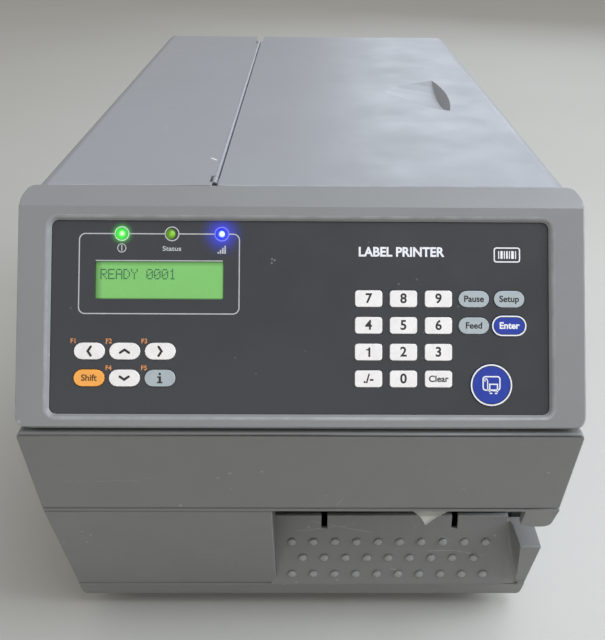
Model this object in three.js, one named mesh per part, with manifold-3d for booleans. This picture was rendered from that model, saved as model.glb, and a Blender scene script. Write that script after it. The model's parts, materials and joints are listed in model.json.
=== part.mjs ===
// Thermal label printer, modelled in millimetres.
// X runs to the right seen from the front, the front faces -Y, and Z is up.
// The origin is the centre of the bounding box, at the surface that the feet stand on.
import * as THREE from "three";
import { mergeVertices } from "three/addons/utils/BufferGeometryUtils.js";
import Module from "manifold-3d";

const wasm = await Module();
wasm.setup();

// ---------------------------------------------------------------- driving dimensions
const HALF_WIDTH = 138;          // console, front door and lower front
const COVER_HALF_WIDTH = 133;    // covers behind them
const FRONT_Y = -241;
const REAR_Y = 241;
const TOP_Z = 283;
const BODY_BOTTOM_Z = 13.5;      // everything but the feet ends here
const SEAM_Y = -178.6;           // upright joint between the front mouldings and the covers
const MOULDING_WALL = 3;
const SHEET = 2;                 // wall of the covers
const GAP = 0.3;                 // between neighbours that touch
const SEAM_GAP = 0.8;            // visible joint lines

// front outline, as (y, z)
const RIDGE = [-188.8, 276.1];
const NOSE = [FRONT_Y, 181.4];
const DOOR_TOP_Z = 179;
const DOOR_BOTTOM_Z = 116.6;
const DOOR_SLOPE = 0.2416;       // the door leans back by this much per millimetre down
const LOWER_TOP = [-225.9, 116];
const STRIP_TOP = [-195.2, 29.4];
const STRIP_BOTTOM = [-189.6, BODY_BOTTOM_Z];

// console, measured along its slanting face from the ridge
const CONSOLE_CENTRE_X = -0.8;
const CONSOLE_CENTRE_DOWN = 53;
const WINDOW_WIDTH = 241.5;
const WINDOW_HEIGHT = 93;
const WINDOW_CENTRE_UP = -0.8;
const OVERLAY_DEPTH = 2.3;       // the overlay lies this far behind the bezel's face
const OVERLAY_THICKNESS = 1.2;
const KEY_TRAVEL_ROOM = 0.6;

// label path
const PLATEN = { y: -172, z: 87, radius: 10, from: -3, to: 117 };
const PLATEN_SHAFT_RADIUS = 4;
const GEAR_MODULE = 1;
const PLATEN_TEETH = 36;
const PINION_TEETH = 12;
const GEAR_FROM_X = -36;
const GEAR_TO_X = -28;
const HEAD_SHAFT = { y: -128, z: 122, radius: 4 };
const MEDIA_HUB = { y: 104, z: 138 };
const RIBBON_SUPPLY = { y: -42, z: 222 };
const RIBBON_REWIND = { y: -132, z: 222 };
const PLATE_LEFT_X = -24;        // centre plate
const PLATE_RIGHT_X = -21.5;
const BRACKET_LEFT_X = 121.5;    // outer bracket
const BRACKET_RIGHT_X = 124;

// hinges
const TOP_HINGE = { x: -44.6, z: 281.2, pinRadius: 1, knuckleRadius: 1.7 };
const DOOR_HINGE = { x: -131, y: -186.5, pinRadius: 2, barrelRadius: 7 };
const LEFT_COVER_EDGE_X = -45.2;
const SIDE_DOOR_EDGE_X = -42.2;
const COVER_CORNER_RADIUS = 7;

// ---------------------------------------------------------------- solids
const X = new THREE.Vector3(1, 0, 0);
const Y = new THREE.Vector3(0, 1, 0);
const Z = new THREE.Vector3(0, 0, 1);

function solidFrom(geometry) {
  const bare = geometry.clone();
  bare.deleteAttribute("normal");
  bare.deleteAttribute("uv");
  const merged = mergeVertices(bare, 1e-4);
  const mesh = new wasm.Mesh({
    numProp: 3,
    vertProperties: Float32Array.from(merged.attributes.position.array),
    triVerts: Uint32Array.from(merged.index.array),
  });
  return new wasm.Manifold(mesh);
}

function geometryFrom(solid) {
  const mesh = solid.getMesh();
  const geometry = new THREE.BufferGeometry();
  geometry.setAttribute("position", new THREE.BufferAttribute(mesh.vertProperties, 3));
  geometry.setIndex(new THREE.BufferAttribute(mesh.triVerts, 1));
  geometry.computeVertexNormals();
  return geometry;
}

function join(...solids) {
  return solids.reduce((whole, piece) => whole.add(piece));
}

function cut(solid, ...cutters) {
  return cutters.reduce((whole, cutter) => whole.subtract(cutter), solid);
}

function shapeOf(points) {
  return new THREE.Shape(points.map(([a, b]) => new THREE.Vector2(a, b)));
}

// A closed solid through rings of points, each ring convex, anticlockwise from above and above the last.
function loft(rings) {
  const count = rings[0].length;
  const last = (rings.length - 1) * count;
  const index = [];
  for (let start = 0; start < last; start += count) {
    for (let i = 0; i < count; i += 1) {
      const here = start + i;
      const next = start + ((i + 1) % count);
      index.push(here, next, next + count, here, next + count, here + count);
    }
  }
  for (let i = 1; i < count - 1; i += 1) index.push(0, i + 1, i, last, last + i, last + i + 1);
  const geometry = new THREE.BufferGeometry();
  geometry.setAttribute("position", new THREE.Float32BufferAttribute(rings.flat(2), 3));
  geometry.setIndex(index);
  return solidFrom(geometry);
}

// A rectangle between two corners, with one corner radius for its top and one for its bottom.
function roundedRectangle(left, right, bottom, top, topRadius, bottomRadius = topRadius) {
  const shape = new THREE.Shape();
  shape.moveTo(left + bottomRadius, bottom);
  shape.lineTo(right - bottomRadius, bottom);
  shape.absarc(right - bottomRadius, bottom + bottomRadius, bottomRadius, -Math.PI / 2, 0);
  shape.lineTo(right, top - topRadius);
  shape.absarc(right - topRadius, top - topRadius, topRadius, 0, Math.PI / 2);
  shape.lineTo(left + topRadius, top);
  shape.absarc(left + topRadius, top - topRadius, topRadius, Math.PI / 2, Math.PI);
  shape.lineTo(left, bottom + bottomRadius);
  shape.absarc(left + bottomRadius, bottom + bottomRadius, bottomRadius, Math.PI, 1.5 * Math.PI);
  return shape;
}

// A many-sided outline that stays outside the circle of the given radius.
function circlePath(x, y, radius, sides) {
  const outer = radius / Math.cos(Math.PI / sides);
  const corner = (_, i) => {
    const angle = (2 * Math.PI * i) / sides;
    return new THREE.Vector2(x + outer * Math.cos(angle), y + outer * Math.sin(angle));
  };
  return new THREE.Path(Array.from({ length: sides }, corner));
}

function extrusion(shape, depth, curveSegments) {
  return new THREE.ExtrudeGeometry(shape, { depth, bevelEnabled: false, curveSegments });
}

// The shape's axes are (y, z).
function alongX(shape, from, to, curveSegments = 2) {
  const placing = new THREE.Matrix4().makeBasis(Y, Z, X).setPosition(from, 0, 0);
  return solidFrom(extrusion(shape, to - from, curveSegments).applyMatrix4(placing));
}

// The shape's axes are (x, z).
function alongY(shape, from, to, curveSegments = 2) {
  const placing = new THREE.Matrix4().makeBasis(X, Z, Y.clone().negate()).setPosition(0, to, 0);
  return solidFrom(extrusion(shape, to - from, curveSegments).applyMatrix4(placing));
}

// The shape's axes are (x, y).
function alongZ(shape, from, to, curveSegments = 2) {
  return solidFrom(extrusion(shape, to - from, curveSegments).translate(0, 0, from));
}

function box([x0, x1], [y0, y1], [z0, z1]) {
  const geometry = new THREE.BoxGeometry(x1 - x0, y1 - y0, z1 - z0);
  return solidFrom(geometry.translate((x0 + x1) / 2, (y0 + y1) / 2, (z0 + z1) / 2));
}

function rodX(radius, from, to, y, z, segments = 16) {
  const geometry = new THREE.CylinderGeometry(radius, radius, to - from, segments);
  return solidFrom(geometry.rotateZ(-Math.PI / 2).translate((from + to) / 2, y, z));
}

function rodY(radius, from, to, x, z, segments = 16) {
  const geometry = new THREE.CylinderGeometry(radius, radius, to - from, segments);
  return solidFrom(geometry.translate(x, (from + to) / 2, z));
}

function rodZ(radius, from, to, x, y, segments = 16) {
  const geometry = new THREE.CylinderGeometry(radius, radius, to - from, segments);
  return solidFrom(geometry.rotateX(Math.PI / 2).translate(x, y, (from + to) / 2));
}

// A solid of revolution about an axis along X; the profile is (radius, x).
function turnedX(profile, y, z, segments = 20) {
  const points = profile.map(([radius, x]) => new THREE.Vector2(radius, x));
  const geometry = new THREE.LatheGeometry(points, segments);
  return solidFrom(geometry.rotateZ(-Math.PI / 2).translate(0, y, z));
}

// Moves an open line of points sideways, to its right, and joins the moved segments.
function offsetLine(points, distance) {
  const moved = [];
  for (let i = 0; i + 1 < points.length; i += 1) {
    const [ax, ay] = points[i];
    const [bx, by] = points[i + 1];
    const length = Math.hypot(bx - ax, by - ay);
    const shift = [((by - ay) / length) * distance, (-(bx - ax) / length) * distance];
    moved.push([ax + shift[0], ay + shift[1], bx + shift[0], by + shift[1]]);
  }
  const line = [[moved[0][0], moved[0][1]]];
  for (let i = 0; i + 1 < moved.length; i += 1) {
    const [ax, ay, bx, by] = moved[i];
    const [cx, cy, dx, dy] = moved[i + 1];
    const turn = (bx - ax) * (dy - cy) - (by - ay) * (dx - cx);
    const t = ((cx - ax) * (dy - cy) - (cy - ay) * (dx - cx)) / turn;
    line.push([ax + t * (bx - ax), ay + t * (by - ay)]);
  }
  const last = moved[moved.length - 1];
  line.push([last[2], last[3]]);
  return line;
}

// ---------------------------------------------------------------- materials and the scene
function paint(color, roughness, metalness = 0) {
  return new THREE.MeshStandardMaterial({ color, roughness, metalness });
}

const materials = {
  cover: () => paint(0x8e9299, 0.55),
  bezel: () => paint(0x8a8a8c, 0.55),
  lowerFront: () => paint(0x6d6d6f, 0.6),
  overlay: () => paint(0x25272c, 0.3),
  display: () => paint(0x7fc46f, 0.3),
  lamp: () => paint(0xd8f0d8, 0.2),
  board: () => paint(0x1f5b38, 0.5),
  steel: () => paint(0xb4b6b8, 0.35, 1),
  sheetSteel: () => paint(0x9a9ca0, 0.45, 1),
  blackPlastic: () => paint(0x1c1c1e, 0.5),
  greyPlastic: () => paint(0x55585c, 0.55),
  rubber: () => paint(0x202020, 0.9),
  platenRubber: () => paint(0x2b2b2e, 0.8),
  brass: () => paint(0xb8953f, 0.4, 1),
  headAluminium: () => paint(0xa8abae, 0.4, 1),
  leverGreen: () => paint(0x2f8f57, 0.45),
  paper: () => paint(0xf0f0ee, 0.85),
  keyWhite: () => paint(0xf1f0ee, 0.45),
  keyGrey: () => paint(0xa4b1b5, 0.45),
  keyOrange: () => paint(0xf29a3e, 0.45),
  keyBlue: () => paint(0x2c3f94, 0.45),
};

const printer = new THREE.Group();
const consoleFrame = new THREE.Group();
printer.add(consoleFrame);

function place(name, solid, material, parent = printer) {
  const mesh = new THREE.Mesh(geometryFrom(solid), material);
  mesh.name = name;
  parent.add(mesh);
}

// The console's own axes: x to the right, y up the slanting face, z out of it.
const faceLength = Math.hypot(NOSE[0] - RIDGE[0], NOSE[1] - RIDGE[1]);
const downY = (NOSE[0] - RIDGE[0]) / faceLength;
const downZ = (NOSE[1] - RIDGE[1]) / faceLength;
consoleFrame.position.set(
  CONSOLE_CENTRE_X,
  RIDGE[0] + downY * CONSOLE_CENTRE_DOWN,
  RIDGE[1] + downZ * CONSOLE_CENTRE_DOWN,
);
consoleFrame.rotation.x = Math.atan2(-downZ, -downY);
consoleFrame.updateMatrix();

function inWorld(consoleSolid) {
  return solidFrom(geometryFrom(consoleSolid).applyMatrix4(consoleFrame.matrix));
}

// ---------------------------------------------------------------- covers
function leftCover() {
  const outer = new THREE.Shape();
  const r = COVER_CORNER_RADIUS;
  const bottom = BODY_BOTTOM_Z + 0.5;
  const side = -COVER_HALF_WIDTH;
  const edge = LEFT_COVER_EDGE_X;
  outer.moveTo(side, bottom);
  outer.lineTo(side + SHEET, bottom);
  outer.lineTo(side + SHEET, TOP_Z - r);
  outer.absarc(side + r, TOP_Z - r, r - SHEET, Math.PI, Math.PI / 2, true);
  outer.lineTo(edge, TOP_Z - SHEET);
  outer.lineTo(edge, TOP_Z);
  outer.lineTo(side + r, TOP_Z);
  outer.absarc(side + r, TOP_Z - r, r, Math.PI / 2, Math.PI);
  const skin = alongY(outer, SEAM_Y + SEAM_GAP, REAR_Y);
  // the edge is rolled into the hinge barrel between the door's two knuckles
  const { x, z, pinRadius, knuckleRadius } = TOP_HINGE;
  const roll = rodY(knuckleRadius, KNUCKLES[0][1] + KNUCKLE_GAP, KNUCKLES[1][0] - KNUCKLE_GAP, x, z, 16);
  const bore = rodY(pinRadius + GAP, SEAM_Y - 1, REAR_Y + 1, x, z, 12);
  const knuckleRoom = KNUCKLES.map(([front, rear]) => (
    box([x - 2.2, x + 3], [front - KNUCKLE_GAP, rear + KNUCKLE_GAP], [TOP_Z - 6, TOP_Z + 1])
  ));
  const rearNotch = box([edge - 2.2, edge + 1], ...REAR_NOTCH);
  const vents = [];
  for (let i = 0; i < 9; i += 1) {
    const y = 92 + i * 12;
    vents.push(box([side - 1, side + SHEET + 1], [y, y + 4], [190, 236]));
  }
  return cut(join(skin, roll), bore, ...knuckleRoom, rearNotch, ...vents);
}

// The door turns on two knuckles, one near each end of the barrel.
const KNUCKLES = [[-172.5, -164], [207, 215.5]];
const KNUCKLE_GAP = 0.4;

// Both covers are cut away behind the last hinge knuckle.
const REAR_NOTCH = [[217, REAR_Y + 1], [TOP_Z - 6, TOP_Z + 1]];

// Finger scoop in the side door: a shallow bowl that sinks to the right, ended by a bowed wall.
const SCOOP = { tipX: 56, wallX: 96, frontY: -32, rearY: 57, bulge: 4.5, depth: 6.5, wallLean: 0.8 };

function sheared(solid, [xByZ, zByX], [originX, originZ]) {
  const matrix = new THREE.Matrix4().set(
    1, 0, xByZ, -xByZ * originZ,
    0, 1, 0, 0,
    zByX, 0, 1, -zByX * originX,
    0, 0, 0, 1,
  );
  return solidFrom(geometryFrom(solid).applyMatrix4(matrix));
}

function arcThrough(halfChord, sagitta) {
  const radius = (halfChord ** 2 + sagitta ** 2) / (2 * sagitta);
  return { radius, halfAngle: Math.asin(halfChord / radius) };
}

function scoopSpace(grow) {
  const { tipX, wallX, frontY, rearY, bulge, depth, wallLean } = SCOOP;
  const middleY = (frontY + rearY) / 2;
  const halfChord = (rearY - frontY) / 2;
  const floor = arcThrough(halfChord, depth);
  const bowl = new THREE.Shape();
  const down = -Math.PI / 2;
  const reach = floor.halfAngle * 1.25;
  bowl.absarc(middleY, TOP_Z + floor.radius, floor.radius + grow, down - reach, down + reach);
  const slope = -depth / (wallX - tipX);
  const sunk = sheared(alongX(bowl, tipX - 30, wallX + 15, 5), [0, slope], [tipX, 0]);
  const wall = arcThrough(halfChord, bulge);
  const centreX = wallX + bulge - wall.radius;
  const outline = new THREE.Shape();
  const sweep = wall.halfAngle * 1.2;
  outline.moveTo(tipX - 30, middleY - halfChord * 1.3);
  outline.absarc(centreX, middleY, wall.radius + grow, -sweep, sweep);
  outline.lineTo(tipX - 30, middleY + halfChord * 1.3);
  return sunk.intersect(sheared(alongZ(outline, TOP_Z - 20, TOP_Z + 5, 5), [wallLean, 0], [0, TOP_Z]));
}

function sideDoor() {
  const r = COVER_CORNER_RADIUS;
  const bottom = BODY_BOTTOM_Z + 2.5;
  const side = COVER_HALF_WIDTH;
  const edge = SIDE_DOOR_EDGE_X;
  const profile = new THREE.Shape();
  profile.moveTo(edge, TOP_Z - SHEET);
  profile.lineTo(side - r, TOP_Z - SHEET);
  profile.absarc(side - r, TOP_Z - r, r - SHEET, Math.PI / 2, 0, true);
  profile.lineTo(side - SHEET, bottom);
  profile.lineTo(side, bottom);
  profile.lineTo(side, TOP_Z - r);
  profile.absarc(side - r, TOP_Z - r, r, 0, Math.PI / 2);
  profile.lineTo(edge, TOP_Z);
  const front = SEAM_Y + SEAM_GAP;
  let door = alongY(profile, front, REAR_Y);
  // folded lips that stiffen the front and rear edges
  const lip = 4.5;
  const lipThickness = 1.6;
  for (const y of [front, REAR_Y - lipThickness]) {
    const span = [y, y + lipThickness];
    door = join(
      door,
      box([side - SHEET - lip, side - SHEET + 0.5], span, [bottom, TOP_Z - r]),
      box([-18, side - r], span, [TOP_Z - SHEET - lip, TOP_Z - SHEET + 0.5]),
    );
  }
  const underTop = box([-20, side - r], [front, REAR_Y], [TOP_Z - 20, TOP_Z - 0.5]);
  door = cut(join(door, scoopSpace(SHEET).intersect(underTop)), scoopSpace(0));
  // hinge knuckles under the top edge
  const { x, z, pinRadius, knuckleRadius } = TOP_HINGE;
  for (const [knuckleFront, knuckleRear] of KNUCKLES) {
    const ring = rodY(knuckleRadius, knuckleFront, knuckleRear, x, z, 16);
    const leaf = box([x + 0.6, x + 10], [knuckleFront, knuckleRear], [z - 1.4, z + 0.5]);
    door = join(door, ring, leaf);
  }
  const rearNotch = box([edge - 1, edge + 1.6], ...REAR_NOTCH);
  return cut(door, rodY(pinRadius + 0.1, front - 1, REAR_Y + 1, x, z, 12), rearNotch);
}

function topHingePin() {
  return rodY(TOP_HINGE.pinRadius, KNUCKLES[0][0] + 1, KNUCKLES[1][1] - 1, TOP_HINGE.x, TOP_HINGE.z, 12);
}

function rearPanel() {
  const outline = roundedRectangle(-130.7, 130.7, BODY_BOTTOM_Z + 2.5, TOP_Z - SHEET - GAP - 6, 4, 0.5);
  const panel = alongY(outline, REAR_Y - 4, REAR_Y - 2);
  const cutters = [
    box([POWER_X[0] - GAP, POWER_X[1] + GAP], [REAR_Y - 10, REAR_Y], [POWER_Z[0] - GAP, POWER_Z[1] + GAP]),
    ...REAR_SOCKETS.map(({ z, height, depth }) =>
      box([-35.2 - depth, -32], [REAR_Y - 10, REAR_Y], [z - height / 2 - GAP, z + height / 2 + GAP])),
  ];
  for (let row = 0; row < 8; row += 1) {
    cutters.push(box([-112, -62], [REAR_Y - 10, REAR_Y], [110 + row * 9, 113.5 + row * 9]));
  }
  return cut(panel, ...cutters);
}

// ---------------------------------------------------------------- base and upright walls
function baseTray() {
  const inner = COVER_HALF_WIDTH - SHEET - GAP;
  const front = SEAM_Y + SEAM_GAP;
  const rear = REAR_Y - 4 - GAP;
  const floor = box([-inner, inner], [front, rear], [BODY_BOTTOM_Z, BODY_BOTTOM_Z + 2]);
  const leftWall = box([-inner, -inner + 2], [front, rear], [BODY_BOTTOM_Z, 40]);
  const rightWall = box([inner - 2, inner], [front + 3, rear], [BODY_BOTTOM_Z, 40]);
  const rearWall = box([-inner, inner], [rear - 2, rear], [BODY_BOTTOM_Z, 24]);
  const slots = [];
  for (let i = 0; i < 7; i += 1) {
    slots.push(box([-118 + i * 12, -113 + i * 12], [20, 56], [BODY_BOTTOM_Z - 1, BODY_BOTTOM_Z + 4]));
  }
  return cut(join(floor, leftWall, rightWall, rearWall), ...slots);
}

function foot(x, y) {
  const profile = [[0, 0], [9.5, 0], [11, 1.5], [11, 9], [9, BODY_BOTTOM_Z - GAP], [0, BODY_BOTTOM_Z - GAP]];
  const points = profile.map(([radius, z]) => new THREE.Vector2(radius, z));
  return solidFrom(new THREE.LatheGeometry(points, 20).rotateX(Math.PI / 2).translate(x, y, 0));
}

function centrePlate() {
  const bottom = BODY_BOTTOM_Z + 2 + GAP;
  const rear = REAR_Y - 4 - GAP;
  const flangeZ = TOP_HINGE.z - 4;
  const outline = shapeOf([
    [SEAM_Y + 2, bottom], [rear - 3, bottom], [rear - 3, flangeZ], [SEAM_Y + 2, flangeZ],
    [SEAM_Y + 2, 135], [-187.5, 135], [-187.5, 84], [SEAM_Y + 2, 84],
  ]);
  let plate = alongX(outline, PLATE_LEFT_X, PLATE_RIGHT_X);
  plate = join(
    plate,
    box([-62, PLATE_RIGHT_X], [SEAM_Y + 2, rear - 3], [flangeZ - 1.6, flangeZ]),
    box([PLATE_LEFT_X - 14, PLATE_RIGHT_X], [SEAM_Y + 2, rear - 3], [bottom, bottom + 1.6]),
  );
  const hole = (radius, { y, z }) => rodX(radius + GAP, PLATE_LEFT_X - 1, PLATE_RIGHT_X + 1, y, z);
  return cut(
    plate,
    hole(PLATEN_SHAFT_RADIUS, PLATEN),
    hole(HEAD_SHAFT.radius, HEAD_SHAFT),
    hole(HUB_AXLE_RADIUS, MEDIA_HUB),
    hole(HUB_AXLE_RADIUS, RIBBON_SUPPLY),
    hole(HUB_AXLE_RADIUS, RIBBON_REWIND),
  );
}

function outerBracket() {
  const bottom = BODY_BOTTOM_Z + 2 + GAP;
  const outline = shapeOf([
    [-174, bottom], [-104, bottom], [-104, 60], [-114, 112], [-114, 134], [-142, 134], [-146, 112],
    [-152, 95], [-188, 95], [-188, 80], [-174, 70],
  ]);
  const foot = box([BRACKET_LEFT_X - 12, BRACKET_RIGHT_X], [-174, -104], [bottom, bottom + 2.5]);
  return cut(
    join(alongX(outline, BRACKET_LEFT_X, BRACKET_RIGHT_X), foot),
    rodX(PLATEN_SHAFT_RADIUS + GAP, BRACKET_LEFT_X - 1, BRACKET_RIGHT_X + 1, PLATEN.y, PLATEN.z),
    rodX(HEAD_SHAFT.radius + GAP, BRACKET_LEFT_X - 1, BRACKET_RIGHT_X + 1, HEAD_SHAFT.y, HEAD_SHAFT.z),
  );
}

// ---------------------------------------------------------------- front mouldings
// Inward lips that close the step between the wide front and the narrower covers.
function rearLips(sides, bottom, top) {
  const inner = HALF_WIDTH - 10;
  return sides.map((side) => {
    const span = side < 0 ? [-HALF_WIDTH, -inner] : [inner, HALF_WIDTH];
    return box(span, [SEAM_Y - MOULDING_WALL, SEAM_Y], [bottom, top]);
  });
}

function consoleBezel() {
  const along = (t) => [RIDGE[0] + downY * t, RIDGE[1] + downZ * t];
  const soften = 1.6;
  const outline = [
    [SEAM_Y, TOP_Z], RIDGE, along(faceLength - soften), [NOSE[0] + soften, NOSE[1]], [SEAM_Y, NOSE[1]],
  ];
  const frontView = roundedRectangle(-HALF_WIDTH, HALF_WIDTH, NOSE[1], TOP_Z, COVER_CORNER_RADIUS, 6);
  const outer = alongX(shapeOf(outline), -HALF_WIDTH, HALF_WIDTH)
    .intersect(alongY(frontView, FRONT_Y - 1, SEAM_Y + 1, 3));

  const inside = offsetLine(
    [[SEAM_Y + 10, TOP_Z + 6.8], RIDGE, NOSE, [SEAM_Y + 10, NOSE[1]]],
    -MOULDING_WALL,
  );
  const reach = HALF_WIDTH - MOULDING_WALL;
  const lips = rearLips([-1, 1], NOSE[1] + MOULDING_WALL - 1, TOP_Z - 10);
  const cavity = cut(alongX(shapeOf(inside), -reach, reach), ...lips);

  const halfW = WINDOW_WIDTH / 2;
  const low = WINDOW_CENTRE_UP - WINDOW_HEIGHT / 2;
  const high = WINDOW_CENTRE_UP + WINDOW_HEIGHT / 2;
  const window = roundedRectangle(-halfW, halfW, low, high, 3);
  const chamfered = new THREE.ExtrudeGeometry(window, {
    depth: 6, bevelThickness: 2, bevelSize: 2.2, bevelSegments: 1, curveSegments: 2,
  });
  const pocket = roundedRectangle(-halfW - 3, halfW + 3, low - 3, high + 3, 4);
  const pinHole = rodZ(DOOR_HINGE.pinRadius + GAP, NOSE[1] - 1, NOSE[1] + 2.6, DOOR_HINGE.x, DOOR_HINGE.y);
  return cut(
    outer,
    cavity,
    inWorld(solidFrom(chamfered)),
    inWorld(alongZ(window, -3, 1)),
    inWorld(alongZ(pocket, -6, -2)),
    pinHole,
  );
}

const doorFaceY = (z) => FRONT_Y + (DOOR_TOP_Z - 2.2 - z) * DOOR_SLOPE;

function frontDoor() {
  const depthOfFlanges = 26;
  const front = [
    [doorFaceY(DOOR_TOP_Z) + 2.2, DOOR_TOP_Z], [doorFaceY(DOOR_TOP_Z - 1) + 0.3, DOOR_TOP_Z - 0.9],
    [doorFaceY(DOOR_TOP_Z - 2.2), DOOR_TOP_Z - 2.2],
    [doorFaceY(120.2), 120.2], [doorFaceY(119.9) + 0.9, 119.9], [doorFaceY(119.1) + 0.9, 119.1],
    [doorFaceY(118.8) - 0.3, 118.8], [doorFaceY(117.9) - 0.5, 117.9], [doorFaceY(117) - 0.2, 117],
    [doorFaceY(DOOR_BOTTOM_Z) + 0.6, DOOR_BOTTOM_Z],
  ];
  const outline = [[SEAM_Y, DOOR_TOP_Z], ...front, [SEAM_Y, DOOR_BOTTOM_Z]];
  const frontView = roundedRectangle(-HALF_WIDTH, HALF_WIDTH, DOOR_BOTTOM_Z, DOOR_TOP_Z, 3, 0.6);
  const outer = alongX(shapeOf(outline), -HALF_WIDTH, HALF_WIDTH)
    .intersect(alongY(frontView, FRONT_Y - 1, SEAM_Y + 1));

  const reach = HALF_WIDTH - MOULDING_WALL;
  const hollow = shapeOf([
    [doorFaceY(DOOR_TOP_Z) + MOULDING_WALL, DOOR_TOP_Z - MOULDING_WALL],
    [doorFaceY(DOOR_BOTTOM_Z) + MOULDING_WALL + 0.5, DOOR_BOTTOM_Z + MOULDING_WALL],
    [SEAM_Y + 1, DOOR_BOTTOM_Z + MOULDING_WALL],
    [SEAM_Y + 1, DOOR_TOP_Z - MOULDING_WALL],
  ]);
  const behindFlanges = box(
    [-reach, reach],
    [doorFaceY(DOOR_BOTTOM_Z) + depthOfFlanges - 12, SEAM_Y + 1],
    [DOOR_BOTTOM_Z - 1, DOOR_TOP_Z + 1],
  );
  const [lip] = rearLips([1], DOOR_BOTTOM_Z, DOOR_TOP_Z);
  const hollows = cut(join(alongX(hollow, -reach, reach), behindFlanges), lip);

  const { x, y, pinRadius, barrelRadius } = DOOR_HINGE;
  const cornerBehindHinge = box([-HALF_WIDTH - 1, x + 12], [y, SEAM_Y + 1], [DOOR_BOTTOM_Z - 1, DOOR_TOP_Z + 1]);
  const barrel = rodZ(barrelRadius, DOOR_BOTTOM_Z, DOOR_TOP_Z, x, y, 24);
  const pinBore = rodZ(pinRadius + 0.1, DOOR_BOTTOM_Z - 1, DOOR_TOP_Z + 1, x, y);

  // pull tab at the lower right corner
  const tabBottom = 98.3;
  const tabLeft = 120.5;
  const lean = 0.42;
  const tabFaceY = (z) => doorFaceY(DOOR_BOTTOM_Z) + (DOOR_BOTTOM_Z - z) * lean;
  const tabSide = shapeOf([
    [tabFaceY(DOOR_BOTTOM_Z + 2.5), DOOR_BOTTOM_Z + 2.5], [tabFaceY(tabBottom), tabBottom],
    [tabFaceY(tabBottom) + 3.5, tabBottom], [tabFaceY(DOOR_BOTTOM_Z) + 5, DOOR_BOTTOM_Z + 2.5],
  ]);
  const tabView = roundedRectangle(tabLeft, HALF_WIDTH, tabBottom, DOOR_BOTTOM_Z + 4, 0.5, 5);
  const tab = alongX(tabSide, tabLeft, HALF_WIDTH).intersect(alongY(tabView, FRONT_Y, SEAM_Y));

  return cut(join(cut(outer, hollows, cornerBehindHinge), barrel, tab), pinBore);
}

function frontDoorPin() {
  return rodZ(DOOR_HINGE.pinRadius, LOWER_TOP[1] - 4, NOSE[1] + 2.2, DOOR_HINGE.x, DOOR_HINGE.y);
}

// Label chute: a studded ramp between the left panel and the right cheek.
const CHUTE = { left: -16, right: 126, top: 80.8 };
const CHEEK = { topZ: 76.4, topSlope: 0.06, edgeX: 125.7, edgeFlare: 0.155 };
const RAMP = [[-196.9, 30.6], [-192.6, 72], [-191.4, CHUTE.top]];
const STUD_PITCH = 13;
const STUD_ROWS = [
  { z: 62, firstX: -6.2, count: 10 },
  { z: 50.3, firstX: 0.3, count: 9 },
  { z: 38.2, firstX: -6.2, count: 10 },
];
const RAMP_SLOTS = [13.2, 91.2];

function rampY(z) {
  const [low, high] = RAMP;
  return low[0] + ((z - low[1]) * (high[0] - low[0])) / (high[1] - low[1]);
}

function stud(x, z) {
  const profile = [[0, -0.8], [2.9, -0.2], [2.55, 0.7], [1.5, 1.25], [0, 1.45]];
  const dome = new THREE.LatheGeometry(profile.map(([r, h]) => new THREE.Vector2(r, h)), 12);
  const lean = Math.atan2(RAMP[1][0] - RAMP[0][0], RAMP[1][1] - RAMP[0][1]);
  return solidFrom(dome.rotateX(Math.PI + lean).translate(x, rampY(z), z));
}

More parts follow.
